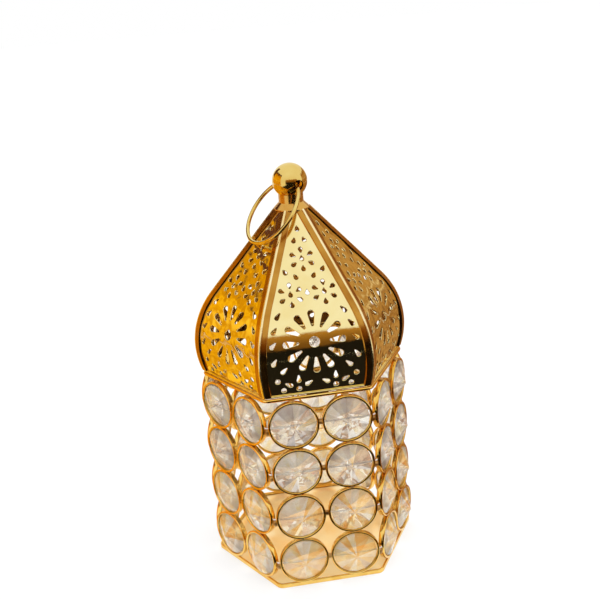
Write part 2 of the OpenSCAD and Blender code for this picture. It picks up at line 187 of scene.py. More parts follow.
def wave(u: np.ndarray, s: np.ndarray, seed: int, reach: float) -> np.ndarray:
    """Gentle unevenness of hammered or bent sheet, between -1 and 1.

    Args:
        u: Places across the sheet.
        s: Places along the sheet.
        seed: Picks one of many patterns.
        reach: Typical length of a wave.

    Returns:
        The height at each place.
    """
    waves, shortest, longest, gain = 7, 0.6, 1.8, 1.6
    draw = np.random.default_rng(seed)
    total = np.zeros_like(u)
    for _ in range(waves):
        angle, phase = draw.uniform(0, math.tau, 2)
        length = reach * draw.uniform(shortest, longest)
        total += np.sin((u * math.cos(angle) + s * math.sin(angle)) * math.tau / length + phase)
    return total / waves * gain


def linked(name: str, data: bpy.types.ID) -> bpy.types.Object:
    """Makes an object and links it to the scene.

    Args:
        name: Name of the object.
        data: Its mesh, light or camera.

    Returns:
        The object.
    """
    made = bpy.data.objects.new(name, data)
    bpy.context.scene.collection.objects.link(made)
    return made


class MeshMaker:
    """Collects the points and faces of one piece and makes its object."""

    def __init__(self, name: str) -> None:
        """Starts an empty piece.

        Args:
            name: Name of the piece.
        """
        self.name = name
        self.points: list[np.ndarray] = []
        self.faces: list[Sequence[int]] = []
        self.count = 0

    def add(self, points: np.ndarray, faces: Iterable[Sequence[int]]) -> int:
        """Adds points and the faces between them.

        Args:
            points: Array of x, y and z.
            faces: Faces that count from this array's first point.

        Returns:
            The number of the first point added.
        """
        first = self.count
        self.points.append(np.asarray(points, float).reshape(-1, 3))
        self.count += len(self.points[-1])
        self.faces.extend([tuple(first + i for i in face) for face in faces])
        return first

    def add_grid(self, rows: np.ndarray, close_rows: bool = False, close_columns: bool = False) -> int:
        """Adds a grid of four-sided faces.

        Args:
            rows: Array of rows by columns by 3.
            close_rows: Joins the last row to the first.
            close_columns: Joins the last column to the first.

        Returns:
            The number of the first point added.
        """
        n, m = rows.shape[:2]
        faces = []
        for i in range(n if close_rows else n - 1):
            for j in range(m if close_columns else m - 1):
                a, b = i * m + j, i * m + (j + 1) % m
                c, d = ((i + 1) % n) * m + (j + 1) % m, ((i + 1) % n) * m + j
                faces.append((a, b, c, d))
        return self.add(rows.reshape(-1, 3), faces)

    def make_object(self) -> bpy.types.Object:
        """Makes the object, with every face turned outwards.

        Returns:
            The bare object.
        """
        mesh = bpy.data.meshes.new(self.name)
        mesh.from_pydata(np.vstack(self.points).tolist(), [], self.faces)
        shape = bmesh.new()
        shape.from_mesh(mesh)
        bmesh.ops.recalc_face_normals(shape, faces=shape.faces)
        shape.to_mesh(mesh)
        shape.free()
        return linked(self.name, mesh)

    def finish(self, body: Body, finish: bpy.types.Material, slot: Slot, replaces: Sequence[str] = (),
               crease: float = 35.0, flat: bool = False, second: bpy.types.Material | None = None,
               second_faces: Iterable[int] = ()) -> bpy.types.Object:
        """Makes the object, dresses it and lets it ride on its body.

        Args:
            body: Body that the piece moves with.
            finish: Material of the piece.
            slot: Record slot of the piece; not used.
            replaces: Nodes that the piece stands for.
            crease: Angle in degrees above which an edge stays sharp.
            flat: Shades every face flat, as on cut glass.
            second: Material of some of its faces.
            second_faces: Numbers of the faces that wear the second material.

        Returns:
            The finished object.
        """
        piece = self.make_object()
        mesh = piece.data
        if not flat:
            mesh.shade_smooth()
            mesh.set_sharp_from_angle(angle=math.radians(crease))
        mesh.materials.append(finish)
        if second is not None:
            mesh.materials.append(second)
            for number in second_faces:
                mesh.polygons[number].material_index = 1
        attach(piece, body.value)
        if replaces:
            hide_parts(*replaces)
        LOG.info("%s: %d points, rides on %s", self.name, len(mesh.vertices), body.value)
        return piece


def tube(maker: MeshMaker, path: np.ndarray, radius: float, closed: bool, steps: int = 12) -> None:
    """Sweeps a round wire along a path.

    Args:
        maker: Piece that the wire belongs to.
        path: Array of points along the middle of the wire.
        radius: Radius of the wire.
        closed: Whether the path ends where it starts.
        steps: Points round the wire.
    """
    ahead = np.roll(path, -1, axis=0) - np.roll(path, 1, axis=0)
    if not closed:
        ahead[0], ahead[-1] = path[1] - path[0], path[-1] - path[-2]
    ahead /= np.linalg.norm(ahead, axis=1)[:, None]
    nearly_upright = 0.1
    side = np.cross(ahead[0], [0.0, 0.0, 1.0])
    if np.linalg.norm(side) < nearly_upright:
        side = np.cross(ahead[0], [1.0, 0.0, 0.0])
    rows = []
    for point, direction in zip(path, ahead):
        side = side - direction * (side @ direction)
        side /= np.linalg.norm(side)
        up = np.cross(direction, side)
        ring = circle_points(radius, steps)
        rows.append(point + ring[:, :1] * side + ring[:, 1:] * up)
    first = maker.add_grid(np.array(rows), close_rows=closed, close_columns=True)
    if not closed:
        last = first + (len(path) - 1) * steps
        maker.faces.append(tuple(range(first, first + steps)))
        maker.faces.append(tuple(range(last, last + steps)))


def flat_sheet(name: str, width: float, height: float, finish: bpy.types.Material) -> bpy.types.Object:
    """Makes a flat rectangle about the origin.

    Args:
        name: Name of the object.
        width: Size along x.
        height: Size along y.
        finish: Material of the sheet.

    Returns:
        The object.
    """
    wide, high = width / 2, height / 2
    mesh = bpy.data.meshes.new(name)
    corners = [(-wide, -high, 0), (wide, -high, 0), (wide, high, 0), (-wide, high, 0)]
    mesh.from_pydata(corners, [], [(0, 1, 2, 3)])
    mesh.materials.append(finish)
    return linked(name, mesh)


def lump(maker: MeshMaker, centre: np.ndarray, size: Point, seed: int, place: Matrix) -> None:
    """Adds an uneven blob of braze or solder.

    Args:
        maker: Piece that the blob belongs to.
        centre: Middle of the blob before it is placed.
        size: Half sizes along x, y and z.
        seed: Picks the unevenness.
        place: Matrix that carries the blob to its place.
    """
    unevenness, reach = 0.14, 1.4
    shape = bmesh.new()
    bmesh.ops.create_icosphere(shape, subdivisions=3, radius=1.0)
    points = np.array([v.co for v in shape.verts])
    faces = [[v.index for v in f.verts] for f in shape.faces]
    shape.free()
    bumps = wave(points[:, 0] + points[:, 2], points[:, 1] - points[:, 2], seed, reach)
    points = points * (1 + unevenness * bumps)[:, None] * np.array(size) + centre
    maker.add(moved(points, place), faces)


class NodeTree:
    """Short ways to place and join the nodes of one material."""

    def __init__(self, name: str) -> None:
        """Makes a material with an empty tree, its shader and its output.

        Args:
            name: Name of the material.
        """
        self.material = bpy.data.materials.new(name)
        self.material.use_nodes = True
        self.tree = self.material.node_tree
        self.tree.nodes.clear()
        self.output = self.tree.nodes.new("ShaderNodeOutputMaterial")
        self.shader = self.tree.nodes.new("ShaderNodeBsdfPrincipled")
        self.tree.links.new(self.shader.outputs["BSDF"], self.output.inputs["Surface"])
        self.place = self.tree.nodes.new("ShaderNodeTexCoord").outputs["Object"]

    def link(self, source: bpy.types.NodeSocket, target: bpy.types.NodeSocket) -> None:
        """Joins an output socket to an input socket."""
        self.tree.links.new(source, target)

    def set(self, **values: float | tuple) -> None:
        """Sets the shader's own sockets, named with underscores for spaces."""
        for key, value in values.items():
            self.shader.inputs[key.replace("_", " ")].default_value = value

    def stretched(self, scale: Point) -> bpy.types.NodeSocket:
        """Object coordinates scaled along each axis.

        Args:
            scale: Factor along x, y and z.

        Returns:
            The scaled coordinates.
        """
        mapping = self.tree.nodes.new("ShaderNodeMapping")
        mapping.inputs["Scale"].default_value = scale
        self.link(self.place, mapping.inputs["Vector"])
        return mapping.outputs["Vector"]

    def noise(self, scale: float, detail: float = 4.0, vector: bpy.types.NodeSocket | None = None,
              distortion: float = 0.0) -> bpy.types.NodeSocket:
        """Cloudy noise.

        Args:
            scale: Features per metre.
            detail: Octaves.
            vector: Coordinates, or None for the object's own.
            distortion: How far the noise bends itself.

        Returns:
            The noise between 0 and 1.
        """
        node = self.tree.nodes.new("ShaderNodeTexNoise")
        node.inputs["Scale"].default_value = scale
        node.inputs["Detail"].default_value = detail
        node.inputs["Distortion"].default_value = distortion
        self.link(vector or self.place, node.inputs["Vector"])
        return node.outputs["Fac"]

    def spread(self, source: bpy.types.NodeSocket, low: float, high: float,
               start: float = 0.3, end: float = 0.7) -> bpy.types.NodeSocket:
        """Maps a value onto a range.

        Args:
            source: Value to map.
            low: Result at start.
            high: Result at end.
            start: Lower end of the source's range.
            end: Upper end of the source's range.

        Returns:
            The mapped value.
        """
        node = self.tree.nodes.new("ShaderNodeMapRange")
        for key, value in zip(("From Min", "From Max", "To Min", "To Max"), (start, end, low, high)):
            node.inputs[key].default_value = value
        self.link(source, node.inputs["Value"])
        return node.outputs["Result"]

    def part(self, vector: bpy.types.NodeSocket, axis: str) -> bpy.types.NodeSocket:
        """One of a vector's numbers.

        Args:
            vector: The vector.
            axis: X, Y or Z.

        Returns:
            The number along that axis.
        """
        node = self.tree.nodes.new("ShaderNodeSeparateXYZ")
        self.link(vector, node.inputs["Vector"])
        return node.outputs[axis]

    def mesh_value(self, name: str) -> bpy.types.NodeSocket:
        """A value that the mesh stores on its faces or points.

        Args:
            name: Name of the mesh attribute.

        Returns:
            The stored value.
        """
        node = self.tree.nodes.new("ShaderNodeAttribute")
        node.attribute_name = name
        return node.outputs["Fac"]

    def sum(self, first: bpy.types.NodeSocket, second: bpy.types.NodeSocket) -> bpy.types.NodeSocket:
        """Adds two values.

        Args:
            first: One value.
            second: The other value.

        Returns:
            Their sum.
        """
        node = self.tree.nodes.new("ShaderNodeMath")
        self.link(first, node.inputs[0])
        self.link(second, node.inputs[1])
        return node.outputs["Value"]

    def ramp(self, source: bpy.types.NodeSocket, stops: Stops) -> bpy.types.NodeSocket:
        """Colours along a value.

        Args:
            source: Value between 0 and 1.
            stops: Places and their colours.

        Returns:
            The colour.
        """
        node = self.tree.nodes.new("ShaderNodeValToRGB")
        elements = node.color_ramp.elements
        while len(elements) < len(stops):
            elements.new(0.5)
        for element, (place, colour) in zip(elements, stops):
            element.position = place
            element.color = (*colour, 1.0)
        self.link(source, node.inputs["Fac"])
        return node.outputs["Color"]

    def bump(self, height: bpy.types.NodeSocket, depth: float,
             under: bpy.types.NodeSocket | None = None) -> bpy.types.NodeSocket:
        """Fine relief on the surface.

        Args:
            height: Height between 0 and 1.
            depth: Depth of the relief in metres.
            under: Relief that lies under this one.

        Returns:
            The bumped normal.
        """
        node = self.tree.nodes.new("ShaderNodeBump")
        node.inputs["Strength"].default_value = 1.0
        node.inputs["Distance"].default_value = depth
        self.link(height, node.inputs["Height"])
        if under is not None:
            self.link(under, node.inputs["Normal"])
        return node.outputs["Normal"]


@dataclass(frozen=True)
class PolishedBrass:
    """Polished brass with faint blotches, hairline scratches and a soft ripple."""

    name: str
    tint: Colour = (0.9, 0.57, 0.14)
    shade: Colour = (0.78, 0.42, 0.07)
    roughness: tuple[float, float] = (0.1, 0.22)
    blotches: float = 90.0
    ripple: float = 160.0
    ripple_depth: float = 0.02 * MM
    scratch_depth: float = 0.004 * MM
    scratch_stretch: Point = (1.0, 1.0, 22.0)
    metallic: float = 1.0
    shade_stop: float = 0.32
    tint_stop: float = 0.62

    def make(self) -> bpy.types.Material:
        """Builds the material.

        Returns:
            The material.
        """
        nodes = NodeTree(self.name)
        nodes.set(Metallic=self.metallic)
        blotch = nodes.noise(self.blotches, detail=6.0, distortion=0.6)
        stops = [(self.shade_stop, self.shade), (self.tint_stop, self.tint)]
        nodes.link(nodes.ramp(blotch, stops), nodes.shader.inputs["Base Color"])
        smear = nodes.noise(self.blotches * 5, detail=5.0)
        nodes.link(nodes.spread(smear, *self.roughness), nodes.shader.inputs["Roughness"])
        ripple = nodes.bump(nodes.noise(self.ripple, detail=2.0), self.ripple_depth)
        hairs = nodes.noise(self.ripple * 4, detail=3.0, vector=nodes.stretched(self.scratch_stretch))
        nodes.link(nodes.bump(hairs, self.scratch_depth, ripple), nodes.shader.inputs["Normal"])
        return nodes.material


@dataclass(frozen=True)
class CutCrystal:
    """Pressed crystal whose facets carry slightly different tones, among them a painted glint and a painted
    peach-gold reflection of the brass, with faint clouds and smears.
    """

    name: str
    tones: Stops = (
        (0.0, (0.56, 0.5, 0.46)), (0.22, (0.8, 0.72, 0.64)), (0.45, (0.96, 0.89, 0.77)),
        (0.62, (1.0, 0.99, 0.93)), (0.75, (1.0, 0.9, 0.62)), (0.88, (1.0, 0.78, 0.4)),
        (1.0, (0.96, 0.56, 0.18)))
    clouds: float = 0.17
    cloud_grain: float = 260.0
    smear_grain: float = 600.0
    smear_roughness: float = 0.05
    index: float = 1.5
    clearness: float = 0.76

    def make(self) -> bpy.types.Material:
        """Builds the material.

        Returns:
            The material.
        """
        nodes = NodeTree(self.name)
        nodes.set(Transmission_Weight=self.clearness, IOR=self.index)
        cloud = nodes.noise(self.cloud_grain, detail=5.0, distortion=0.5)
        cloud = nodes.spread(cloud, -self.clouds, self.clouds)
        tint = nodes.ramp(nodes.sum(nodes.mesh_value(CrystalSets.TONE), cloud), self.tones)
        nodes.link(tint, nodes.shader.inputs["Base Color"])
        smear = nodes.spread(nodes.noise(self.smear_grain), 0.0, self.smear_roughness, start=0.45, end=0.75)
        nodes.link(smear, nodes.shader.inputs["Roughness"])
        return nodes.material


@dataclass(frozen=True)
class SolderMetal:
    """Dull uneven metal of solder, braze or tinned wire."""

    name: str
    pale: Colour
    dark: Colour
    roughness: tuple[float, float] = (0.25, 0.5)
    grain: float = 900.0
    depth: float = 0.06 * MM
    metallic: float = 1.0
    dark_stop: float = 0.35
    pale_stop: float = 0.65

    def make(self) -> bpy.types.Material:
        """Builds the material.

        Returns:
            The material.
        """
        nodes = NodeTree(self.name)
        nodes.set(Metallic=self.metallic)
        patches = nodes.noise(self.grain / 3, detail=5.0, distortion=0.8)
        stops = [(self.dark_stop, self.dark), (self.pale_stop, self.pale)]
        nodes.link(nodes.ramp(patches, stops), nodes.shader.inputs["Base Color"])
        nodes.link(nodes.spread(patches, *self.roughness), nodes.shader.inputs["Roughness"])
        nodes.link(nodes.bump(nodes.noise(self.grain), self.depth), nodes.shader.inputs["Normal"])
        return nodes.material


@dataclass(frozen=True)
class Finishes:
    """Every finish of the lantern, made once."""

    tray: bpy.types.Material
    rings: bpy.types.Material
    dome: bpy.types.Material
    inside: bpy.types.Material
    ribs: bpy.types.Material
    fold: bpy.types.Material
    ball: bpy.types.Material
    collar: bpy.types.Material
    crystal: bpy.types.Material
    wire: bpy.types.Material
    braze: bpy.types.Material

    @classmethod
    def make(cls) -> "Finishes":
        """Builds the materials.

        Returns:
            All of them.
        """
        return cls(
            # Very pale tint on the tray floor: painted light, brightening it as if lit inside the body; its
            # finish is also half diffuse.
            tray=PolishedBrass("tray_brass_painted_pale", tint=(1.0, 0.8, 0.44), shade=(1.0, 0.69, 0.29),
                               roughness=(0.1, 0.24), metallic=0.5).make(),
            rings=PolishedBrass("ring_polished_brass", tint=(0.95, 0.66, 0.2), shade=(0.84, 0.48, 0.08),
                                roughness=(0.06, 0.16), blotches=140.0).make(),
            dome=PolishedBrass("dome_polished_brass", tint=(0.93, 0.8, 0.4), shade=(0.9, 0.74, 0.33),
                               roughness=(0.025, 0.08), ripple=110.0).make(),
            inside=PolishedBrass("unpolished_inner_brass", tint=(0.42, 0.22, 0.05), shade=(0.26, 0.12, 0.03),
                                 roughness=(0.3, 0.5)).make(),
            # Deep brown tint on the ribs: painted dark reflection, the lantern's brass darkened as it looks
            # in the folded strips.
            ribs=PolishedBrass("rib_brass_painted_dark", tint=(0.56, 0.28, 0.045), shade=(0.42, 0.18, 0.024),
                               roughness=(0.1, 0.22)).make(),
            # Pale brass along the ribs' crest: a painted highlight along the crease.
            fold=PolishedBrass("rubbed_fold_brass", tint=(0.96, 0.82, 0.48), shade=(0.9, 0.7, 0.3),
                               roughness=(0.12, 0.3)).make(),
            # Subdued brown brass on the collar: painted dark reflection, dimming its flare.
            collar=PolishedBrass("collar_brass_painted_dark", tint=(0.72, 0.42, 0.1), shade=(0.6, 0.29, 0.05),
                                 roughness=(0.1, 0.2)).make(),
            ball=PolishedBrass("ball_polished_brass", tint=(0.82, 0.62, 0.2), shade=(0.72, 0.46, 0.1),
                               roughness=(0.06, 0.13)).make(),
            crystal=CutCrystal("cut_crystal").make(),
            wire=SolderMetal("tinned_wire_metal", (1.0, 0.95, 0.93), (0.88, 0.79, 0.76), (0.15, 0.3),
                             metallic=0.3).make(),
            braze=SolderMetal("braze_metal", (0.72, 0.44, 0.16), (0.42, 0.2, 0.06)).make(),
        )


@dataclass
class RingWalls:
    """The six walls of brazed brass rings."""

    finishes: Finishes
    pitch: float = 19.5 * MM
    diameter: float = 18.5 * MM
    wall: float = 0.9 * MM
    depth: float = 2.2 * MM
    edge_radius: float = 0.36 * MM
    rows: int = 4
    row_pitch: float = 18.6 * MM
    seat: float = 0.05 * MM
    tilt: float = math.radians(1.2)
    oval: float = 0.004
    turn_steps: int = 72
    middle_spot: Point = (0.9 * MM, 1.15 * MM, 1.0 * MM)
    upright_spot: Point = (0.95 * MM, 1.1 * MM, 0.6 * MM)
    foot_spot_lift: float = 0.35 * MM
    seed: int = 40

    @property
    def apothem(self) -> float:
        """Distance of the rings' middle plane from the axis."""
        low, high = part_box("ring_panel_1")
        return -(low.y + high.y) / 2

    @property
    def first_row(self) -> float:
        """Height of the lowest row of rings."""
        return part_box("base_tray")[1].z + self.seat + self.diameter / 2

    def places(self) -> list[tuple[int, float, float]]:
        """Row, place across the face and height of each ring of a face."""
        return [(row, column * self.pitch, self.first_row + row * self.row_pitch)
                for row in range(self.rows) for column in (-0.5, 0.5)]

    def ring(self, maker: MeshMaker, place: Matrix, draw: np.random.Generator) -> None:
        """Adds one short tube with rounded edges.

        Args:
            maker: Piece that the ring belongs to.
            place: Matrix from the ring's own axes to the lantern.
            draw: Source of the ring's small unevenness.
        """
        section = rounded_box(self.wall, self.depth, self.edge_radius, steps=3)
        middle = (self.diameter - self.wall) / 2
        angles = np.arange(self.turn_steps) * math.tau / self.turn_steps
        oval = 1 + self.oval * np.cos(2 * angles + draw.uniform(0, math.tau))
        radii = (middle * oval)[:, None] + section[:, 0]
        rows = np.stack([np.broadcast_to(section[:, 1], radii.shape), radii * np.cos(angles)[:, None],
                         radii * np.sin(angles)[:, None]], axis=2)
        maker.add_grid(moved(rows, place), close_rows=True, close_columns=True)

    def build_face(self, face: int) -> None:
        """Builds the rings and braze spots of one face.

        Args:
            face: Number of the face.
        """
        draw = np.random.default_rng(self.seed + face)
        rings = MeshMaker(f"ring_wall_{face}")
        spots = MeshMaker(f"braze_spots_{face}")
        for _, across, height in self.places():
            nod = Matrix.Rotation(draw.normal(0, self.tilt), 4, "Y")
            lean = nod @ Matrix.Rotation(draw.normal(0, self.tilt), 4, "Z")
            place = face_turn(face) @ Matrix.Translation((self.apothem, across, height)) @ lean
            self.ring(rings, place, draw)
        for row in range(self.rows):
            centre = np.array((self.apothem, 0.0, self.first_row + row * self.row_pitch))
            lump(spots, centre, self.middle_spot, face * 100 + row, face_turn(face))
        for row in range(self.rows + 1):
            lift = self.foot_spot_lift if row == 0 else 0.0
            for column in (-0.5, 0.5):
                centre = np.array((self.apothem, column * self.pitch,
                                   self.first_row + (row - 0.5) * self.row_pitch + lift))
                seed = face * 100 + 10 + row * 2 + int(column > 0)
                lump(spots, centre, self.upright_spot, seed, face_turn(face))
        rings.finish(Body.WALLS, self.finishes.rings, Slot.RINGS, [f"ring_panel_{face}"])
        spots.finish(Body.WALLS, self.finishes.braze, Slot.BRAZE)

    def build(self) -> None:
        """Builds all six walls."""
        for face in range(1, SIDES + 1):
            self.build_face(face)


@dataclass
class CrystalSets:
    """The drilled crystals in the rings."""

    TONE: ClassVar[str] = "tone"

    finishes: Finishes
    walls: RingWalls
    room: float = 0.25 * MM
    rise: float = 3.78 * MM
    band: float = 0.65 * MM
    facets: int = 16
    bore: float = 0.6 * MM
    tone_reach: float = 0.8
    tone_bend: float = 0.9
    # Near-white tone of one wedge: a painted glint.
    painted_glint_tone: float = 0.62
    # Painted peach-gold reflection of the brass: added in the lower rows, taken off a little in the upper
    # rows, and strongest on the upper facets.
    painted_warm_reflection: float = 0.45
    painted_cool_drop: float = 0.08
    lowest_painted_reflection_share: float = 0.4
    swing: float = math.radians(4.0)
    seed: int = 70

    @property
    def radius(self) -> float:
        """Radius of a crystal."""
        return self.walls.diameter / 2 - self.walls.wall - self.room

    def cone(self, side: int) -> tuple[np.ndarray, np.ndarray]:
        """Edge and tip of one half of a crystal, whose side is 1 for the outer half and -1 for the inner."""
        edge = circle_points(self.radius, self.facets)
        return np.insert(edge, 0, side * self.band, axis=1), np.array([[side * self.rise, 0.0, 0.0]])

    def cut(self) -> tuple[np.ndarray, list[tuple[int, ...]]]:
        """Makes one drilled crystal about the origin, its tips along x and its bore along y.

        Returns:
            Its points and its faces.
        """
        n = self.facets
        maker = MeshMaker("crystal_blank")
        for side in (1, -1):
            edge, tip = self.cone(side)
            maker.add(np.vstack([edge, tip]), [(i, (i + 1) % n, n) for i in range(n)])
        half = maker.count // 2
        maker.faces.extend([(i, (i + 1) % n, half + (i + 1) % n, half + i) for i in range(n)])
        blank = maker.make_object()
        drill, reach = MeshMaker("crystal_drill"), 1.5 * self.radius
        tube(drill, np.array([(0.0, -reach, 0.0), (0.0, reach, 0.0)]), self.bore / 2, closed=False)
        bit = drill.make_object()
        modifier = blank.modifiers.new("bore", "BOOLEAN")
        modifier.operation, modifier.solver, modifier.object = "DIFFERENCE", "EXACT", bit
        bpy.context.view_layer.update()
        result = blank.evaluated_get(bpy.context.evaluated_depsgraph_get()).to_mesh()
        points = np.array([v.co for v in result.vertices])
        faces = [tuple(p.vertices) for p in result.polygons]
        for loose in (blank, bit):
            bpy.data.objects.remove(loose)
        return points, faces

    def facet_tones_with_painted_light(self, points: np.ndarray, faces: Sequence[tuple[int, ...]], row: int,
                    draw: np.random.Generator) -> np.ndarray:
        """Tone of every face of a crystal, alike over each wedge, with one wedge set near white as a painted
        glint and a painted peach-gold reflection of the brass added in the rows near the tray, most on the
        upper facets.

        Args:
            points: Points of the crystal about the origin.
            faces: Faces of the crystal.
            row: Row that it hangs in, from 0 at the bottom.
            draw: Source of the tones.

        Returns:
            One tone for each face.
        """
        wedges = draw.uniform(0.0, 1.0, (2, self.facets)) ** self.tone_bend * self.tone_reach
        # One wedge of each crystal, on both halves, is set near white: a painted glint.
        glint_wedge = int(draw.integers(self.facets // 2, self.facets))
        wedges[:, glint_wedge] = self.painted_glint_tone
        # Rows near the tray get the painted peach-gold reflection; the upper rows get a slight painted
        # paleness.
        painted_warmth = self.painted_warm_reflection if row < self.walls.rows / 2 else -self.painted_cool_drop
        middles = np.array([points[list(face)].mean(axis=0) for face in faces])
        turns = np.arctan2(middles[:, 2], middles[:, 1]) % math.tau
        wedge = (turns / math.tau * self.facets).astype(int) % self.facets
        side = (middles[:, 0] < 0).astype(int)
        share = self.lowest_painted_reflection_share + (1 - self.lowest_painted_reflection_share) * np.clip(np.sin(turns), 0.0, 1.0)
        return np.clip(wedges[side, wedge] + painted_warmth * share, 0.0, 1.0)

    def build(self) -> None:
        """Hangs a crystal in every ring, each swung a little on its wire."""
        points, faces = self.cut()
        for face in range(1, SIDES + 1):
            draw = np.random.default_rng(self.seed + face)
            maker = MeshMaker(f"cut_crystals_{face}")
            tones = []
            for row, across, height in self.walls.places():
                place = (face_turn(face) @ Matrix.Translation((self.walls.apothem, across, height))
                         @ Matrix.Rotation(draw.normal(0, self.swing), 4, "Y"))
                maker.add(moved(points, place), faces)
                tones.append(self.facet_tones_with_painted_light(points, faces, row, draw))
            piece = maker.finish(Body.WALLS, self.finishes.crystal, Slot.CRYSTAL, [f"crystals_{face}"],
                                 flat=True)
            tone = piece.data.attributes.new(self.TONE, "FLOAT", "FACE")
            tone.data.foreach_set("value", np.concatenate(tones))


@dataclass
class Threading:
    """The twisted wires through the crystals and the solder in the corners."""

    finishes: Finishes
    walls: RingWalls
    strand_radius: float = 0.15 * MM
    twist_radius: float = 0.13 * MM
    twist_pitch: float = 2.6 * MM
    corner_radius: float = 1.2 * MM
    step: float = 0.5 * MM
    lump_size: Point = (0.9 * MM, 1.15 * MM, 1.2 * MM)
    lump_inset: float = 0.625 * MM
    lump_drop: float = 1.7 * MM
    seed: int = 500

    def hexagon_path(self, height: float) -> np.ndarray:
        """Evenly stepped path round the lantern.

        Args:
            height: Height of the path.

        Returns:
            Its points.
        """
        loop = hexagon_loop(self.walls.apothem, self.corner_radius, corner_steps=8)
        closed = np.vstack([loop, loop[:1]])
        along = np.concatenate([[0.0], np.cumsum(np.linalg.norm(np.diff(closed, axis=0), axis=1))])
        places = np.arange(0.0, along[-1], self.step)
        plan = np.stack([np.interp(places, along, closed[:, i]) for i in (0, 1)], axis=1)
        turned = moved(np.insert(plan, 2, 0.0, axis=1), face_turn(1))[:, :2]
        return np.column_stack([turned, np.full(len(plan), height)])

    def build_wire(self, row: int) -> None:
        """Builds the pair of twisted strands of one row.

        Args:
            row: Number of the row, from 1 at the bottom.
        """
        path = self.hexagon_path(self.walls.first_row + (row - 1) * self.walls.row_pitch)
        turns = round(len(path) * self.step / self.twist_pitch)
        out = path[:, :2] / np.linalg.norm(path[:, :2], axis=1)[:, None]
        maker = MeshMaker(f"threading_wire_{row}")
        for strand in (0.0, math.pi):
            angle = np.arange(len(path)) * math.tau * turns / len(path) + strand
            line = path.copy()
            line[:, :2] += out * (self.twist_radius * np.cos(angle))[:, None]
            line[:, 2] += self.twist_radius * np.sin(angle)
            tube(maker, line, self.strand_radius, closed=True, steps=8)
        maker.finish(Body.WALLS, self.finishes.wire, Slot.WIRE, [f"string_wire_{row}"])

    def build_solder(self) -> None:
        """Builds the lumps that join the walls at their corners."""
        corner = self.walls.apothem / math.cos(HALF_TURN) - self.lump_inset
        maker = MeshMaker("corner_solder_lumps")
        for face in range(1, SIDES + 1):
            for row in range(self.walls.rows):
                height = self.walls.first_row + row * self.walls.row_pitch - self.lump_drop
                seed = self.seed + face * 10 + row
                lump(maker, np.array((corner, 0.0, height)), self.lump_size, seed, corner_turn(face))
        maker.finish(Body.WALLS, self.finishes.braze, Slot.BRAZE, ["corner_solder"])

    def build(self) -> None:
        """Builds the wires and the solder."""
        for row in range(1, self.walls.rows + 1):
            self.build_wire(row)
        self.build_solder()


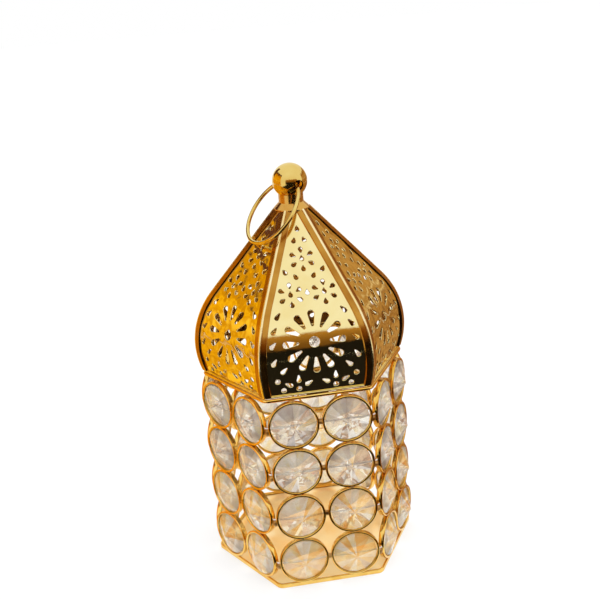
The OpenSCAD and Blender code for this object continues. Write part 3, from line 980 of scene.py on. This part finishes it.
@dataclass
class HexagonParts:
    """The tray, the rim rod and the dome's hem, which all run round the hexagon."""

    finishes: Finishes
    tray_sheet: float = 0.8 * MM
    tray_lip: float = 0.9 * MM
    tray_corner: float = 3.0 * MM
    floor_loops: int = 16
    floor_middle: float = 0.05
    floor_wave: float = 0.05 * MM
    floor_reach: float = 20.0 * MM
    floor_seed: int = 3
    edge_radius: float = 0.3 * MM
    edge_points: int = 6
    rim_diameter: float = 1.4 * MM
    rim_corner: float = 3.0 * MM
    hem_sheet: float = 0.6 * MM
    hem_width: float = 2.7 * MM
    hem_corner: float = 2.0 * MM
    hem_edge: float = 0.28 * MM
    upstand_inset: float = 1.28 * MM
    upstand_height: float = 1.6 * MM
    upstand_edge: float = 0.2 * MM
    least_gap: float = 0.001 * MM

    @staticmethod
    def swept(maker: MeshMaker, section: np.ndarray, outer: float, corner: float, close: bool) -> np.ndarray:
        """Sweeps a section of apothems and heights round the hexagon.

        Args:
            maker: Piece that the sweep belongs to.
            section: Array of apothems and heights.
            outer: Apothem at which the corner radius is as stated.
            corner: Corner radius there.
            close: Whether the section is a closed loop.

        Returns:
            The numbers of the points, one row for each point of the section.
        """
        loops = []
        for apothem, height in section:
            plan = hexagon_loop(apothem, corner - (outer - apothem))
            loops.append(np.insert(plan, 2, height, axis=1))
        rows = moved(np.array(loops), face_turn(1))
        first = maker.add_grid(rows, close_rows=close, close_columns=True)
        return first + np.arange(rows.shape[0] * rows.shape[1]).reshape(rows.shape[:2])

    def build_tray(self) -> None:
        """Builds the tray with its rolled lip."""
        low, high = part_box("base_tray")
        outer, top = -low.y, high.z
        inner, edge = outer - self.tray_lip, self.edge_radius
        arcs = [((outer - edge, edge), 270, 360), ((outer - edge, top - edge), 0, 90),
                ((inner + edge, top - edge), 90, 180)]
        section = [(x + edge * math.cos(math.radians(a)), z + edge * math.sin(math.radians(a)))
                   for (x, z), start, end in arcs for a in np.linspace(start, end, self.edge_points)]
        section += [(inner, self.tray_sheet + edge), (inner - edge, self.tray_sheet)]
        maker = MeshMaker("brass_tray")
        loops = self.swept(maker, np.array(section), outer, self.tray_corner, close=False)
        maker.faces.append(tuple(loops[0]))
        lip = len(maker.faces)
        floor = np.array([hexagon_loop((inner - edge) * share, self.tray_corner * share)
                          for share in np.linspace(1.0, self.floor_middle, self.floor_loops)])
        unevenness = wave(floor[..., 0], floor[..., 1], self.floor_seed, self.floor_reach)
        heights = self.tray_sheet + self.floor_wave * unevenness
        heights[0] = self.tray_sheet
        rows = moved(np.concatenate([floor, heights[..., None]], axis=2), face_turn(1))
        first = maker.add_grid(rows, close_columns=True)
        last = first + (self.floor_loops - 1) * rows.shape[1]
        maker.faces.append(tuple(range(last, last + rows.shape[1])))
        # The floor wears the pale tray brass with its painted light; the lip wears the rings' brass.
        piece = maker.finish(Body.WALLS, self.finishes.tray, Slot.TRAY, ["base_tray"],
                             second=self.finishes.rings, second_faces=range(lip))
        weld(piece, self.least_gap)

    def build_rim(self) -> None:
        """Builds the round rod on top of the rings."""
        low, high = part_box("top_rim")
        radius = self.rim_diameter / 2
        middle, height = -low.y - radius, (low.z + high.z) / 2
        section = circle_points(radius, steps=20) + np.array((middle, height))
        maker = MeshMaker("rim_rod")
        self.swept(maker, section, middle, self.rim_corner, close=True)
        maker.finish(Body.WALLS, self.finishes.rings, Slot.RINGS, ["top_rim"])

    def build_hem(self) -> None:
        """Builds the flat flange under the dome panels with its upstand."""
        low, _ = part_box("dome_hem")
        outer, bottom = -low.y, low.z
        flange = rounded_box(self.hem_width, self.hem_sheet, self.hem_edge, steps=4)
        section = flange + np.array((outer - self.hem_width / 2, bottom + self.hem_sheet / 2))
        maker = MeshMaker("dome_hem_flange")
        self.swept(maker, section, outer, self.hem_corner, close=True)
        inner = outer - self.upstand_inset
        upstand = rounded_box(self.hem_sheet, self.upstand_height, self.upstand_edge, steps=3)
        section = upstand + np.array((inner - self.hem_sheet / 2, bottom + self.upstand_height / 2))
        self.swept(maker, section, inner, self.hem_corner, close=True)
        maker.finish(Body.DOME, self.finishes.dome, Slot.DOME, ["dome_hem"])

    def build(self) -> None:
        """Builds the three pieces."""
        self.build_tray()
        self.build_rim()
        self.build_hem()


def weld(piece: bpy.types.Object, distance: float) -> None:
    """Joins points of a piece that lie on each other.

    Args:
        piece: The piece.
        distance: Largest distance that is joined.
    """
    shape = bmesh.new()
    shape.from_mesh(piece.data)
    bmesh.ops.remove_doubles(shape, verts=shape.verts, dist=distance)
    bmesh.ops.recalc_face_normals(shape, faces=shape.faces)
    shape.to_mesh(piece.data)
    shape.free()


@dataclass
class DomeProfile:
    """Side view of a dome panel: an arc up to its tangent, then a straight line."""

    bulge_rise: float = 9.9 * MM
    bulge_radius: float = 33.0 * MM
    slope: float = math.radians(37.6)
    hem_sheet: float = 0.6 * MM
    sheet: float = 0.6 * MM
    panel_gap: float = 0.2 * MM

    def __post_init__(self) -> None:
        """Works out the profile from the frame."""
        panel_low, panel_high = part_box("dome_panel_1")
        self.low_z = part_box("dome_hem")[0].z + self.hem_sheet
        self.bulge_z = self.low_z + self.bulge_rise
        self.arc_x = -panel_low.y - self.bulge_radius
        self.arc_start = -math.asin(self.bulge_rise / self.bulge_radius)
        self.arc_run = self.bulge_radius * (self.slope - self.arc_start)
        self.tangent_x = self.arc_x + self.bulge_radius * math.cos(self.slope)
        self.tangent_z = self.bulge_z + self.bulge_radius * math.sin(self.slope)
        self.top_z = panel_high.z
        self.run = self.arc_run + (self.top_z - self.tangent_z) / math.cos(self.slope)

    def at(self, s: np.ndarray) -> tuple[np.ndarray, np.ndarray, np.ndarray]:
        """Apothem, height and tilt of the sheet.

        Args:
            s: Distances along the panel from its lower edge.

        Returns:
            The apothem, the height and the tilt at each distance.
        """
        s = np.asarray(s, float)
        tilt = np.minimum(self.arc_start + s / self.bulge_radius, self.slope)
        past = np.maximum(s - self.arc_run, 0.0)
        x = self.arc_x + self.bulge_radius * np.cos(tilt) - past * math.sin(self.slope)
        z = self.bulge_z + self.bulge_radius * np.sin(tilt) + past * math.cos(self.slope)
        return x, z, tilt

    def half_width(self, s: np.ndarray) -> np.ndarray:
        """Half of the panel's width at distances along it from its lower edge."""
        gap = self.panel_gap / 2 / math.sin(HALF_TURN)
        return (self.at(s)[0] - gap) * math.tan(HALF_TURN)

    def surface(self, u: np.ndarray, s: np.ndarray, out: np.ndarray | float) -> np.ndarray:
        """Points at a height above the outer surface of the face on the +X side, u across and s along it."""
        x, z, tilt = self.at(s)
        return np.stack([x + out * np.cos(tilt), u, z + out * np.sin(tilt)], axis=-1)


@dataclass
class Piercing:
    """Cut-outs of a dome panel: a sunburst, rosettes, drops and dots."""

    profile: DomeProfile
    sun_rise: float = 19.1 * MM
    sun_petals: int = 12
    sun_root: float = 5.9 * MM
    sun_tip: float = 10.0 * MM
    petal_radius: float = 1.2 * MM
    petal_root_radius: float = 0.45 * MM
    sun_hole: float = 1.9 * MM
    rosette_radius: float = 3.85 * MM
    rosette_drops: int = 6
    rosette_offset: float = 6.0 * MM
    drop_radius: float = 0.8 * MM
    drop_length: float = 1.15 * MM
    lower_drop_length: float = 1.9 * MM
    drop_point: float = 0.25 * MM
    half_field: float = 15.1 * MM
    dot_radius: float = 0.95 * MM
    edge_rise: float = 2.1 * MM
    edge_offset: float = 6.6 * MM
    edge_flower_radius: float = 3.4 * MM
    edge_turns: tuple[float, ...] = (30.0, 90.0, 150.0)
    upper_drop_shares: tuple[Point, ...] = ((0.13, 0.829, 110), (0.44, 0.658, 60), (0.205, 0.627, 60))
    lower_drop_shares: tuple[Point, ...] = (
        (0.8, 0.422, 130), (0.93, 0.348, 130), (1, 0.277, 140), (1, 0.186, 125), (0.8, 0.139, 140))
    middle_drop_shares: tuple[Point, ...] = ((0, 0.894, 90), (0, 0.538, 90))
    dot_shares: tuple[tuple[float, float], ...] = ((0.93, 0.088), (0.8, 0.03))
    rosette_shares: tuple[tuple[float, float], ...] = ((0, 0.726), (1, 0.535), (-1, 0.535))
    round_steps: int = 12
    point_steps: int = 5

    def drop(self, u: float, s: float, turn: float, length: float, big: float, small: float) -> np.ndarray:
        """Outline of a drop whose round end is at (u, s) and whose point lies along a direction.

        Args:
            u: Place across the panel.
            s: Place along the panel.
            turn: Direction of the point, in degrees.
            length: Distance between the middles of its ends.
            big: Radius of its round end.
            small: Radius of its pointed end.

        Returns:
            The outline, counter-clockwise.
        """
        side = math.pi / 2 - math.asin((big - small) / length)
        points = [(big * math.cos(a), big * math.sin(a))
                  for a in np.linspace(side, math.tau - side, self.round_steps)]
        points += [(length + small * math.cos(a), small * math.sin(a))
                   for a in np.linspace(-side, side, self.point_steps)]
        flat = np.array(points)
        c, n = math.cos(math.radians(turn)), math.sin(math.radians(turn))
        return np.stack([u + flat[:, 0] * c - flat[:, 1] * n, s + flat[:, 0] * n + flat[:, 1] * c], axis=1)

    def small_drop(self, u: float, s: float, turn: float) -> np.ndarray:
        """Outline of one of the small drops."""
        return self.drop(u, s, turn, self.drop_length, self.drop_radius, self.drop_point)

    def lower_drop(self, u: float, s: float, turn: float) -> np.ndarray:
        """Outline of one of the longer drops near the lower edge."""
        return self.drop(u, s, turn, self.lower_drop_length, self.drop_radius, self.drop_point)

    @staticmethod
    def dot(u: float, s: float, radius: float, steps: int = 18) -> np.ndarray:
        """Outline of a round hole."""
        return circle_points(radius, steps) + np.array((u, s))

    @staticmethod
    def away(u: float, s: float, distance: float, turn: float) -> tuple[float, float]:
        """Place at a distance from (u, s) along a direction in degrees."""
        return u + distance * math.cos(math.radians(turn)), s + distance * math.sin(math.radians(turn))

    def rosette(self, u: float, s: float) -> list[np.ndarray]:
        """Outlines of a drop with a ring of drops round it, their points to the middle.

        Args:
            u: Place of the middle across the panel.
            s: Place of the middle along the panel.

        Returns:
            The outlines.
        """
        outlines = [self.small_drop(u, s, 90)]
        for i in range(1, self.rosette_drops + 1):
            angle = 90 + i * 360 / self.rosette_drops
            outlines.append(self.small_drop(*self.away(u, s, self.rosette_radius, angle), angle + 180))
        return outlines

    def edge_flower(self, u: float, s: float) -> list[np.ndarray]:
        """Outlines of a dot at the lower edge with three drops that spread from it.

        Args:
            u: Place of the dot across the panel.
            s: Place of the dot along the panel.

        Returns:
            The outlines.
        """
        outlines = [self.dot(u, s, self.dot_radius)]
        for angle in self.edge_turns:
            outlines.append(self.lower_drop(*self.away(u, s, self.edge_flower_radius, angle), angle))
        return outlines

    def sunburst(self) -> list[np.ndarray]:
        """Outlines of the large round hole and the petals round it.

        Returns:
            The outlines.
        """
        outlines = [self.dot(0.0, self.sun_rise, self.sun_hole, steps=32)]
        length = self.sun_tip - self.sun_root
        for i in range(1, self.sun_petals + 1):
            angle = 90 + i * 360 / self.sun_petals
            tip = self.away(0.0, self.sun_rise, self.sun_tip, angle)
            outlines.append(self.drop(*tip, angle + 180, length, self.petal_radius, self.petal_root_radius))
        return outlines

    def outlines(self) -> list[np.ndarray]:
        """Every cut-out of one panel.

        Returns:
            The outlines, counter-clockwise.
        """
        run = self.profile.run
        found = self.sunburst()
        for share, rise in self.rosette_shares:
            found += self.rosette(share * self.rosette_offset, rise * run)
        found += [self.small_drop(u * self.half_field, s * run, turn)
                  for u, s, turn in self.middle_drop_shares]
        kinds = ((self.small_drop, self.upper_drop_shares), (self.lower_drop, self.lower_drop_shares))
        for side in (-1, 1):
            for make, shares in kinds:
                found += [make(side * u * self.half_field, s * run, turn if side > 0 else 180 - turn)
                          for u, s, turn in shares]
            found += [self.dot(side * u * self.half_field, s * run, self.dot_radius)
                      for u, s in self.dot_shares]
            found += self.edge_flower(side * self.edge_offset, self.edge_rise)
        return found


def inside(points: np.ndarray, outline: np.ndarray) -> np.ndarray:
    """Which points lie inside an outline.

    Args:
        points: Array of pairs.
        outline: Array of pairs.

    Returns:
        One truth value for each point.
    """
    low, high = outline.min(axis=0), outline.max(axis=0)
    found = np.zeros(len(points), bool)
    near = np.flatnonzero(np.all((points > low) & (points < high), axis=1))
    x, y = points[near, 0], points[near, 1]
    hits = np.zeros(len(near), bool)
    for (x1, y1), (x2, y2) in zip(outline, np.roll(outline, -1, axis=0)):
        if y1 != y2:
            hits ^= ((y1 > y) != (y2 > y)) & (x < (x2 - x1) * (y - y1) / (y2 - y1) + x1)
    found[near] = hits
    return found


def grown(outline: np.ndarray, by: float) -> np.ndarray:
    """Outline moved outwards along its normals.

    Args:
        outline: Counter-clockwise array of pairs.
        by: Distance.

    Returns:
        The grown outline.
    """
    ahead = np.roll(outline, -1, axis=0) - np.roll(outline, 1, axis=0)
    normal = np.stack([ahead[:, 1], -ahead[:, 0]], axis=1)
    return outline + by * normal / np.linalg.norm(normal, axis=1)[:, None]


@dataclass
class PiercedDome:
    """The six pierced panels and the folded ribs between them."""

    finishes: Finishes
    profile: DomeProfile
    cell: float = 0.9 * MM
    burr: float = 0.1 * MM
    wave_depths: tuple[float, ...] = (0.02 * MM, 0.05 * MM, 0.05 * MM, 0.05 * MM, 0.05 * MM, 0.06 * MM)
    wave_reach: float = 16.0 * MM
    dent_depths: tuple[float, ...] = (0.002 * MM, 0.07 * MM, 0.05 * MM, 0.05 * MM, 0.05 * MM, 0.07 * MM)
    dent_reach: float = 4.5 * MM
    wave_seed: int = 20
    dent_seed: int = 30
    least_step: float = 1e-9
    rib_half_width: float = 2.2 * MM
    rib_sheet: float = 0.62 * MM
    rib_fold: float = 0.25 * MM
    rib_bead: float = 0.3 * MM
    rib_bead_half_width: float = 0.3 * MM
    rib_bright_half_width: float = 0.32 * MM
    rib_edge: float = 0.25 * MM
    rib_lift: float = 0.03 * MM
    rib_ripple: float = 0.06 * MM
    rib_ripple_reach: float = 9.0 * MM
    rib_seed: int = 90
    rib_rows: int = 90
    rib_top_points: int = 41
    rib_low_points: int = 13
    outlines: list[np.ndarray] = field(default_factory=list)

    def border(self) -> np.ndarray:
        """Outline of a panel laid out flat, in steps of about one cell.

        Returns:
            The outline, counter-clockwise.
        """
        run = self.profile.run
        rises = np.linspace(0.0, run, int(run / self.cell))
        halves = self.profile.half_width(rises)
        low = np.linspace(-halves[0], halves[0], int(2 * halves[0] / self.cell))[1:-1]
        high = np.linspace(halves[-1], -halves[-1], max(3, int(2 * halves[-1] / self.cell)))[1:-1]
        return np.vstack([np.column_stack([low, np.zeros_like(low)]), np.column_stack([halves, rises]),
                          np.column_stack([high, np.full_like(high, run)]),
                          np.column_stack([-halves, rises])[::-1]])

    def inner_points(self, widest: float) -> np.ndarray:
        """Points of a staggered grid that lie well inside the panel and clear of its holes.

        Args:
            widest: The panel's greatest half width.

        Returns:
            An array of pairs.
        """
        rises = np.arange(self.cell, self.profile.run - self.cell / 2, self.cell)
        grid = np.array([(u + (i % 2) * self.cell / 2, s) for i, s in enumerate(rises)
                         for u in np.arange(-widest, widest, self.cell)])
        keep = np.abs(grid[:, 0]) < self.profile.half_width(grid[:, 1]) - self.cell / 2
        for outline in self.outlines:
            keep &= ~inside(grid, grown(outline, self.burr + self.cell / 3))
        return grid[keep]

    def pattern(self) -> tuple[np.ndarray, list[tuple[int, ...]], list[list[int]]]:
        """Lays a panel out flat, cut into small triangles round its holes.

        Returns:
            The flat points, the triangles and the loops: first the border, then one for each hole.
        """
        border = self.border()
        self.outlines = Piercing(self.profile).outlines()
        loops = [border] + [grown(outline, self.burr) for outline in self.outlines]
        points, edges = [], []
        for loop in loops:
            first = len(points)
            points += loop.tolist()
            edges += [(first + i, first + (i + 1) % len(loop)) for i in range(len(loop))]
        numbers = np.split(np.arange(len(points)), np.cumsum([len(loop) for loop in loops])[:-1])
        points += self.inner_points(border[:, 0].max()).tolist()
        flat, _, triangles, origin, _, _ = delaunay_2d_cdt(
            [Vector(p) for p in points], edges, [], 1, self.least_step)
        place = {old: new for new, olds in enumerate(origin) for old in olds}
        flat_points = np.array([tuple(p) for p in flat])
        middles = flat_points[np.array(triangles)].mean(axis=1)
        cut = np.zeros(len(triangles), bool)
        for loop in loops[1:]:
            cut |= inside(middles, loop)
        kept = [tuple(t) for t, gone in zip(triangles, cut) if not gone]
        return flat_points, kept, [[place[int(i)] for i in loop] for loop in numbers]

    def bent(self, face: int, places: np.ndarray, below: float) -> np.ndarray:
        """Carries flat places onto a face's bent and dented sheet, before it is turned to its side.

        Args:
            face: Number of the face.
            places: Places across and along the panel.
            below: Depth under the sheet's outer surface.

        Returns:
            An array of x, y and z.
        """
        u, s = places[:, 0], places[:, 1]
        lift = self.wave_depths[face - 1] * wave(u, s, self.wave_seed + face, self.wave_reach)
        lift += self.dent_depths[face - 1] * wave(u, s, self.dent_seed + face, self.dent_reach)
        return self.profile.surface(u, s, lift - below)

    def build_panel(self, face: int, flat: np.ndarray, triangles: list[tuple[int, ...]],
                    loops: list[list[int]]) -> None:
        """Bends the flat pattern into one panel of the dome.

        Args:
            face: Number of the face.
            flat: Flat points.
            triangles: Triangles between them.
            loops: The border and the holes.
        """
        sheet = self.profile.sheet
        maker = MeshMaker(f"pierced_panel_{face}")
        maker.add(self.bent(face, flat, 0.0), triangles)
        count = len(flat)
        maker.add(self.bent(face, flat, sheet), [t[::-1] for t in triangles])
        border = loops[0]
        maker.faces += [(a, b, count + b, count + a) for a, b in zip(border, border[1:] + border[:1])]
        for outline, loop in zip(self.outlines, loops[1:]):
            n = len(loop)
            upper = maker.add(self.bent(face, outline, self.burr), [])
            lower = maker.add(self.bent(face, outline, sheet - self.burr), [])
            for i in range(n):
                j = (i + 1) % n
                maker.faces += [(loop[i], loop[j], upper + j, upper + i),
                                (upper + i, upper + j, lower + j, lower + i),
                                (lower + i, lower + j, count + loop[j], count + loop[i])]
        maker.points = [moved(part, face_turn(face)) for part in maker.points]
        maker.finish(Body.DOME, self.finishes.dome, Slot.DOME, [f"dome_panel_{face}"], crease=28.0,
                     second=self.finishes.inside, second_faces=range(len(triangles), 2 * len(triangles)))

    def build_rib(self, face: int) -> None:
        """Builds the folded strip over the joint between a face and the next one.

        Args:
            face: Number of the face before the joint.
        """
        s = np.linspace(0.0, self.profile.run, self.rib_rows)
        x, z, tilt = self.profile.at(s)
        half, edge = self.rib_half_width, self.rib_edge
        bends = (math.pi, 0.75 * math.pi)
        left = [(-half + edge + edge * math.cos(a), 2 * edge * math.sin(a) ** 2) for a in bends]
        top = [(t, self.rib_sheet + self.rib_bead * math.exp(-(t / self.rib_bead_half_width) ** 2))
               for t in np.linspace(-half + edge, half - edge, self.rib_top_points)]
        right = [(-t, h) for t, h in left[::-1]]
        low = [(t, self.rib_lift) for t in np.linspace(half - edge, -half + edge, self.rib_low_points)]
        section = np.array(left + top + right + low)
        ripple = self.rib_ripple * wave(s, np.zeros_like(s), self.rib_seed + face, self.rib_ripple_reach)
        across = section[:, 0][None, :] * (1 + ripple[:, None] / half)
        bow = np.sqrt(across ** 2 + self.rib_fold ** 2)
        out = section[:, 1][None, :]
        radial = (x[:, None] / math.cos(HALF_TURN) - bow * math.tan(HALF_TURN)
                  + out * np.cos(tilt)[:, None] * math.cos(HALF_TURN))
        side = across + out * np.cos(tilt)[:, None] * math.sin(HALF_TURN) * across / bow
        height = z[:, None] + out * np.sin(tilt)[:, None]
        rows = np.stack([radial, side, height], axis=2)
        maker = MeshMaker(f"folded_rib_{face}")
        first = maker.add_grid(moved(rows, corner_turn(face)), close_columns=True)
        m = rows.shape[1]
        # Faces along the crest wear the pale crest finish: a painted highlight along the crease.
        bright = [i for i in range(m) if section[i, 1] > self.rib_sheet / 2
                  and abs(section[i:i + 2, 0].mean()) < self.rib_bright_half_width]
        fold = [row * m + i for row in range(self.rib_rows - 1) for i in bright]
        last = first + (self.rib_rows - 1) * m
        maker.faces.append(tuple(range(first, first + m)))
        maker.faces.append(tuple(range(last, last + m)))
        maker.finish(Body.DOME, self.finishes.ribs, Slot.RIBS, [f"dome_rib_{face}"], crease=50.0,
                     second=self.finishes.fold, second_faces=fold)

    def build(self) -> None:
        """Builds the panels and the ribs."""
        flat, triangles, loops = self.pattern()
        for face in range(1, SIDES + 1):
            self.build_panel(face, flat, triangles, loops)
            self.build_rib(face)


@dataclass
class KeptSolids:
    """Nodes whose solids are right as they are and only get a finish."""

    finishes: Finishes

    def dress(self) -> None:
        """Gives each kept node its finish."""
        # The collar's brass, and the ribs' brass worn by the hinge and catch, are darkened as painted dark
        # reflection.
        looks = {"crown_collar": self.finishes.collar, "ball_finial": self.finishes.ball,
                 "hanging_ring": self.finishes.ball, "hinge_leaf_body": self.finishes.ribs,
                 "hinge_leaf_dome": self.finishes.ribs, "hinge_pin": self.finishes.wire,
                 "catch_tongue": self.finishes.ribs}
        for node, finish in looks.items():
            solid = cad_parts[node]
            solid.data.materials.clear()
            solid.data.materials.append(finish)
            LOG.info("%s keeps its solid", node)


@dataclass(frozen=True)
class Card:
    """A painted studio card that only shows in reflections.

    Its colours run from its lower edge to its upper edge, and their borders are uneven.

    Attributes:
        name: Name of the card.
        middle: Its middle.
        size: Its width and height.
        turn: Its turn about x, y and z, in degrees.
        stops: Heights between 0 and 1 and the colours there.
        unevenness: How far its borders stray, as a share of its height.
        grain: Strays per metre.
    """

    name: str
    middle: Point
    size: tuple[float, float]
    turn: Point
    stops: Stops
    unevenness: float = 0.02
    grain: float = 6.0


@dataclass(frozen=True)
class Lamp:
    """Soft square lamp that neither polished metal nor crystal shows.

    Attributes:
        name: Name of the lamp.
        place: Middle of the lamp.
        aim: Point that it faces.
        size: Side of its square, in metres.
        power: Its power, in watts.
    """

    name: str
    place: Point
    aim: Point
    size: float
    power: float


@dataclass
class Studio:
    """Floor, light, reflection cards and camera."""

    camera_place: Point = (-46.9 * MM, -348.9 * MM, 225.0 * MM)
    camera_turn: float = math.radians(7.74)
    camera_pitch: float = math.radians(19.34)
    camera_roll: float = math.radians(-4.29)
    lens: float = 59.34
    sensor: float = 36.0
    nearest: float = 0.01
    floor_size: float = 6.0
    floor_glow: float = 0.7
    floor_grain: float = 6.0
    floor_tones: Stops = ((0.3, (0.27, 0.27, 0.27)), (0.7, (0.3, 0.3, 0.3)))
    sky: Colour = (1.0, 1.0, 1.0)
    sky_strength: float = 1.0
    lamps: tuple[Lamp, ...] = (
        Lamp("overhead", (0.2, -0.1, 0.9), (0.0, 0.0, 0.08), 0.9, 4.0),
        Lamp("inner_fill", (0.0, 0.0, 0.074), (0.0, 0.0, 0.0), 0.05, 0.045))
    cards: tuple[Card, ...] = (
        Card("dark_front_card", (0.05, -0.5, 0.15), (0.8, 0.3), (90.0, 0.0, 0.0),
             ((0.0, (0.012, 0.01, 0.008)), (0.44, (0.012, 0.01, 0.008)), (0.46, (0.17, 0.075, 0.015)),
              (0.75, (0.34, 0.16, 0.03)), (0.95, (0.48, 0.23, 0.04)), (0.96, (0.95, 0.95, 0.95))), 0.07, 9.0),
        Card("dark_floor_card", (0.05, -0.27, 0.0005), (0.6, 0.45), (0.0, 0.0, 0.0),
             ((0.0, (0.012, 0.01, 0.008)), (1.0, (0.015, 0.012, 0.01)))),
        Card("gold_left_card", (-0.5, 0.25, 0.28), (0.9, 0.56), (90.0, 0.0, 90.0),
             ((0.0, (0.6, 0.24, 0.0)), (0.1, (1.1, 0.6, 0.02)), (0.2, (0.7, 0.3, 0.0)),
              (0.33, (1.2, 0.75, 0.06)), (0.42, (0.8, 0.36, 0.0)), (0.55, (1.1, 0.6, 0.01)),
              (0.65, (0.65, 0.27, 0.0)), (0.72, (0.9, 0.45, 0.01)), (0.78, (0.1, 0.03, 0.02)),
              (0.95, (0.14, 0.05, 0.03)), (1.0, (0.9, 0.9, 0.9))), 0.14, 14.0),
        Card("gold_left_floor", (-0.265, 0.12, 0.0005), (0.43, 0.5), (0.0, 0.0, 0.0),
             ((0.0, (1.0, 0.5, 0.01)), (0.15, (0.65, 0.27, 0.0)), (0.3, (1.2, 0.72, 0.05)),
              (0.42, (0.7, 0.3, 0.0)), (0.55, (1.0, 0.52, 0.01)), (0.7, (0.6, 0.24, 0.0)),
              (0.85, (1.2, 0.7, 0.04)), (1.0, (0.7, 0.3, 0.0))), 0.3, 22.0),
        Card("brown_left_card", (-0.46, 0.66, 0.5), (0.5, 0.56), (90.0, 0.0, 90.0),
             ((0.0, (0.3, 0.12, 0.03)), (0.3, (0.07, 0.025, 0.015)), (0.8, (0.1, 0.035, 0.02)),
              (1.0, (0.3, 0.14, 0.05))), 0.12, 9.0),
        Card("tan_right_card", (0.5, 0.35, 0.2), (0.9, 0.4), (90.0, 0.0, -90.0),
             ((0.0, (0.3, 0.14, 0.04)), (0.15, (0.55, 0.3, 0.1)), (0.3, (0.28, 0.12, 0.03)),
              (0.42, (0.9, 0.7, 0.45)), (0.5, (0.4, 0.2, 0.05)), (0.65, (0.6, 0.34, 0.12)),
              (0.8, (0.3, 0.13, 0.03)), (0.95, (0.5, 0.28, 0.1)), (1.0, (0.9, 0.9, 0.9))), 0.2, 16.0),
        Card("tan_right_floor", (0.265, 0.2, 0.0005), (0.43, 0.6), (0.0, 0.0, 0.0),
             ((0.0, (0.4, 0.18, 0.05)), (0.2, (0.25, 0.1, 0.03)), (0.4, (0.55, 0.3, 0.1)),
              (0.6, (0.28, 0.12, 0.03)), (0.8, (0.5, 0.26, 0.08)), (1.0, (0.3, 0.12, 0.04))), 0.3, 22.0),
    )

    def build_world(self) -> None:
        """Sets the even white sky."""
        world = bpy.data.worlds.new("soft_white")
        world.use_nodes = True
        background = world.node_tree.nodes["Background"]
        background.inputs["Color"].default_value = (*self.sky, 1.0)
        background.inputs["Strength"].default_value = self.sky_strength
        bpy.context.scene.world = world
        bpy.context.scene.view_settings.view_transform = "Standard"

    def build_floor(self) -> None:
        """Lays the plain pale floor."""
        nodes = NodeTree("pale_floor")
        nodes.set(Roughness=0.9, Emission_Color=(*self.sky, 1.0), Emission_Strength=self.floor_glow)
        tone = nodes.ramp(nodes.noise(self.floor_grain), self.floor_tones)
        nodes.link(tone, nodes.shader.inputs["Base Color"])
        floor = flat_sheet("floor", self.floor_size, self.floor_size, nodes.material)

    def build_card(self, card: Card) -> None:
        """Hangs one reflection card.

        Args:
            card: The card.
        """
        width, height = card.size
        nodes = NodeTree(card.name)
        nodes.set(Base_Color=(0.0, 0.0, 0.0, 1.0), Roughness=1.0, Specular_IOR_Level=0.0,
                  Emission_Strength=1.0)
        rise = nodes.spread(nodes.part(nodes.place, "Y"), 0.0, 1.0, -height / 2, height / 2)
        shake = nodes.spread(nodes.noise(card.grain, detail=3.0), -card.unevenness, card.unevenness)
        nodes.link(nodes.ramp(nodes.sum(rise, shake), card.stops), nodes.shader.inputs["Emission Color"])
        hung = flat_sheet(card.name, width, height, nodes.material)
        hung.location = card.middle
        hung.rotation_euler = [math.radians(a) for a in card.turn]
        for ray in ("camera", "diffuse", "transmission", "shadow", "volume_scatter"):
            setattr(hung, f"visible_{ray}", False)

    def build_lights(self) -> None:
        """Sets the large soft light above and the small fill inside the body."""
        for lamp in self.lamps:
            data = bpy.data.lights.new(lamp.name, "AREA")
            data.size, data.energy = lamp.size, lamp.power
            light = linked(lamp.name, data)
            light.location = lamp.place
            light.visible_glossy = light.visible_transmission = False
            light.rotation_euler = (Vector(lamp.aim) - Vector(lamp.place)).to_track_quat("-Z", "Y").to_euler()

    def build_camera(self) -> None:
        """Sets the camera at the photograph's viewpoint."""
        turn, pitch, roll = self.camera_turn, self.camera_pitch, self.camera_roll
        ahead = Vector((math.sin(turn) * math.cos(pitch), math.cos(turn) * math.cos(pitch), -math.sin(pitch)))
        level = Vector((math.cos(turn), -math.sin(turn), 0.0))
        above = level.cross(ahead)
        right = math.cos(roll) * level + math.sin(roll) * above
        up = -math.sin(roll) * level + math.cos(roll) * above
        data = bpy.data.cameras.new("camera")
        data.lens, data.sensor_width, data.clip_start = self.lens, self.sensor, self.nearest
        camera = linked("camera", data)
        axes = Matrix((right, up, -ahead)).transposed().to_4x4()
        camera.matrix_world = Matrix.Translation(self.camera_place) @ axes
        bpy.context.scene.camera = camera

    def build(self) -> None:
        """Builds the studio."""
        self.build_world()
        self.build_floor()
        for card in self.cards:
            self.build_card(card)
        self.build_lights()
        self.build_camera()


def main() -> None:
    """Builds the studio, then the lantern from its tray to its ball."""
    logging.basicConfig(level=logging.INFO, format="%(message)s")
    Studio().build()
    finishes = Finishes.make()
    walls = RingWalls(finishes)
    builders: list[Callable[[], None]] = [
        HexagonParts(finishes).build, walls.build, CrystalSets(finishes, walls).build,
        Threading(finishes, walls).build, PiercedDome(finishes, DomeProfile()).build,
        KeptSolids(finishes).dress]
    for build in builders:
        build()


if __name__ == "__main__":
    main()
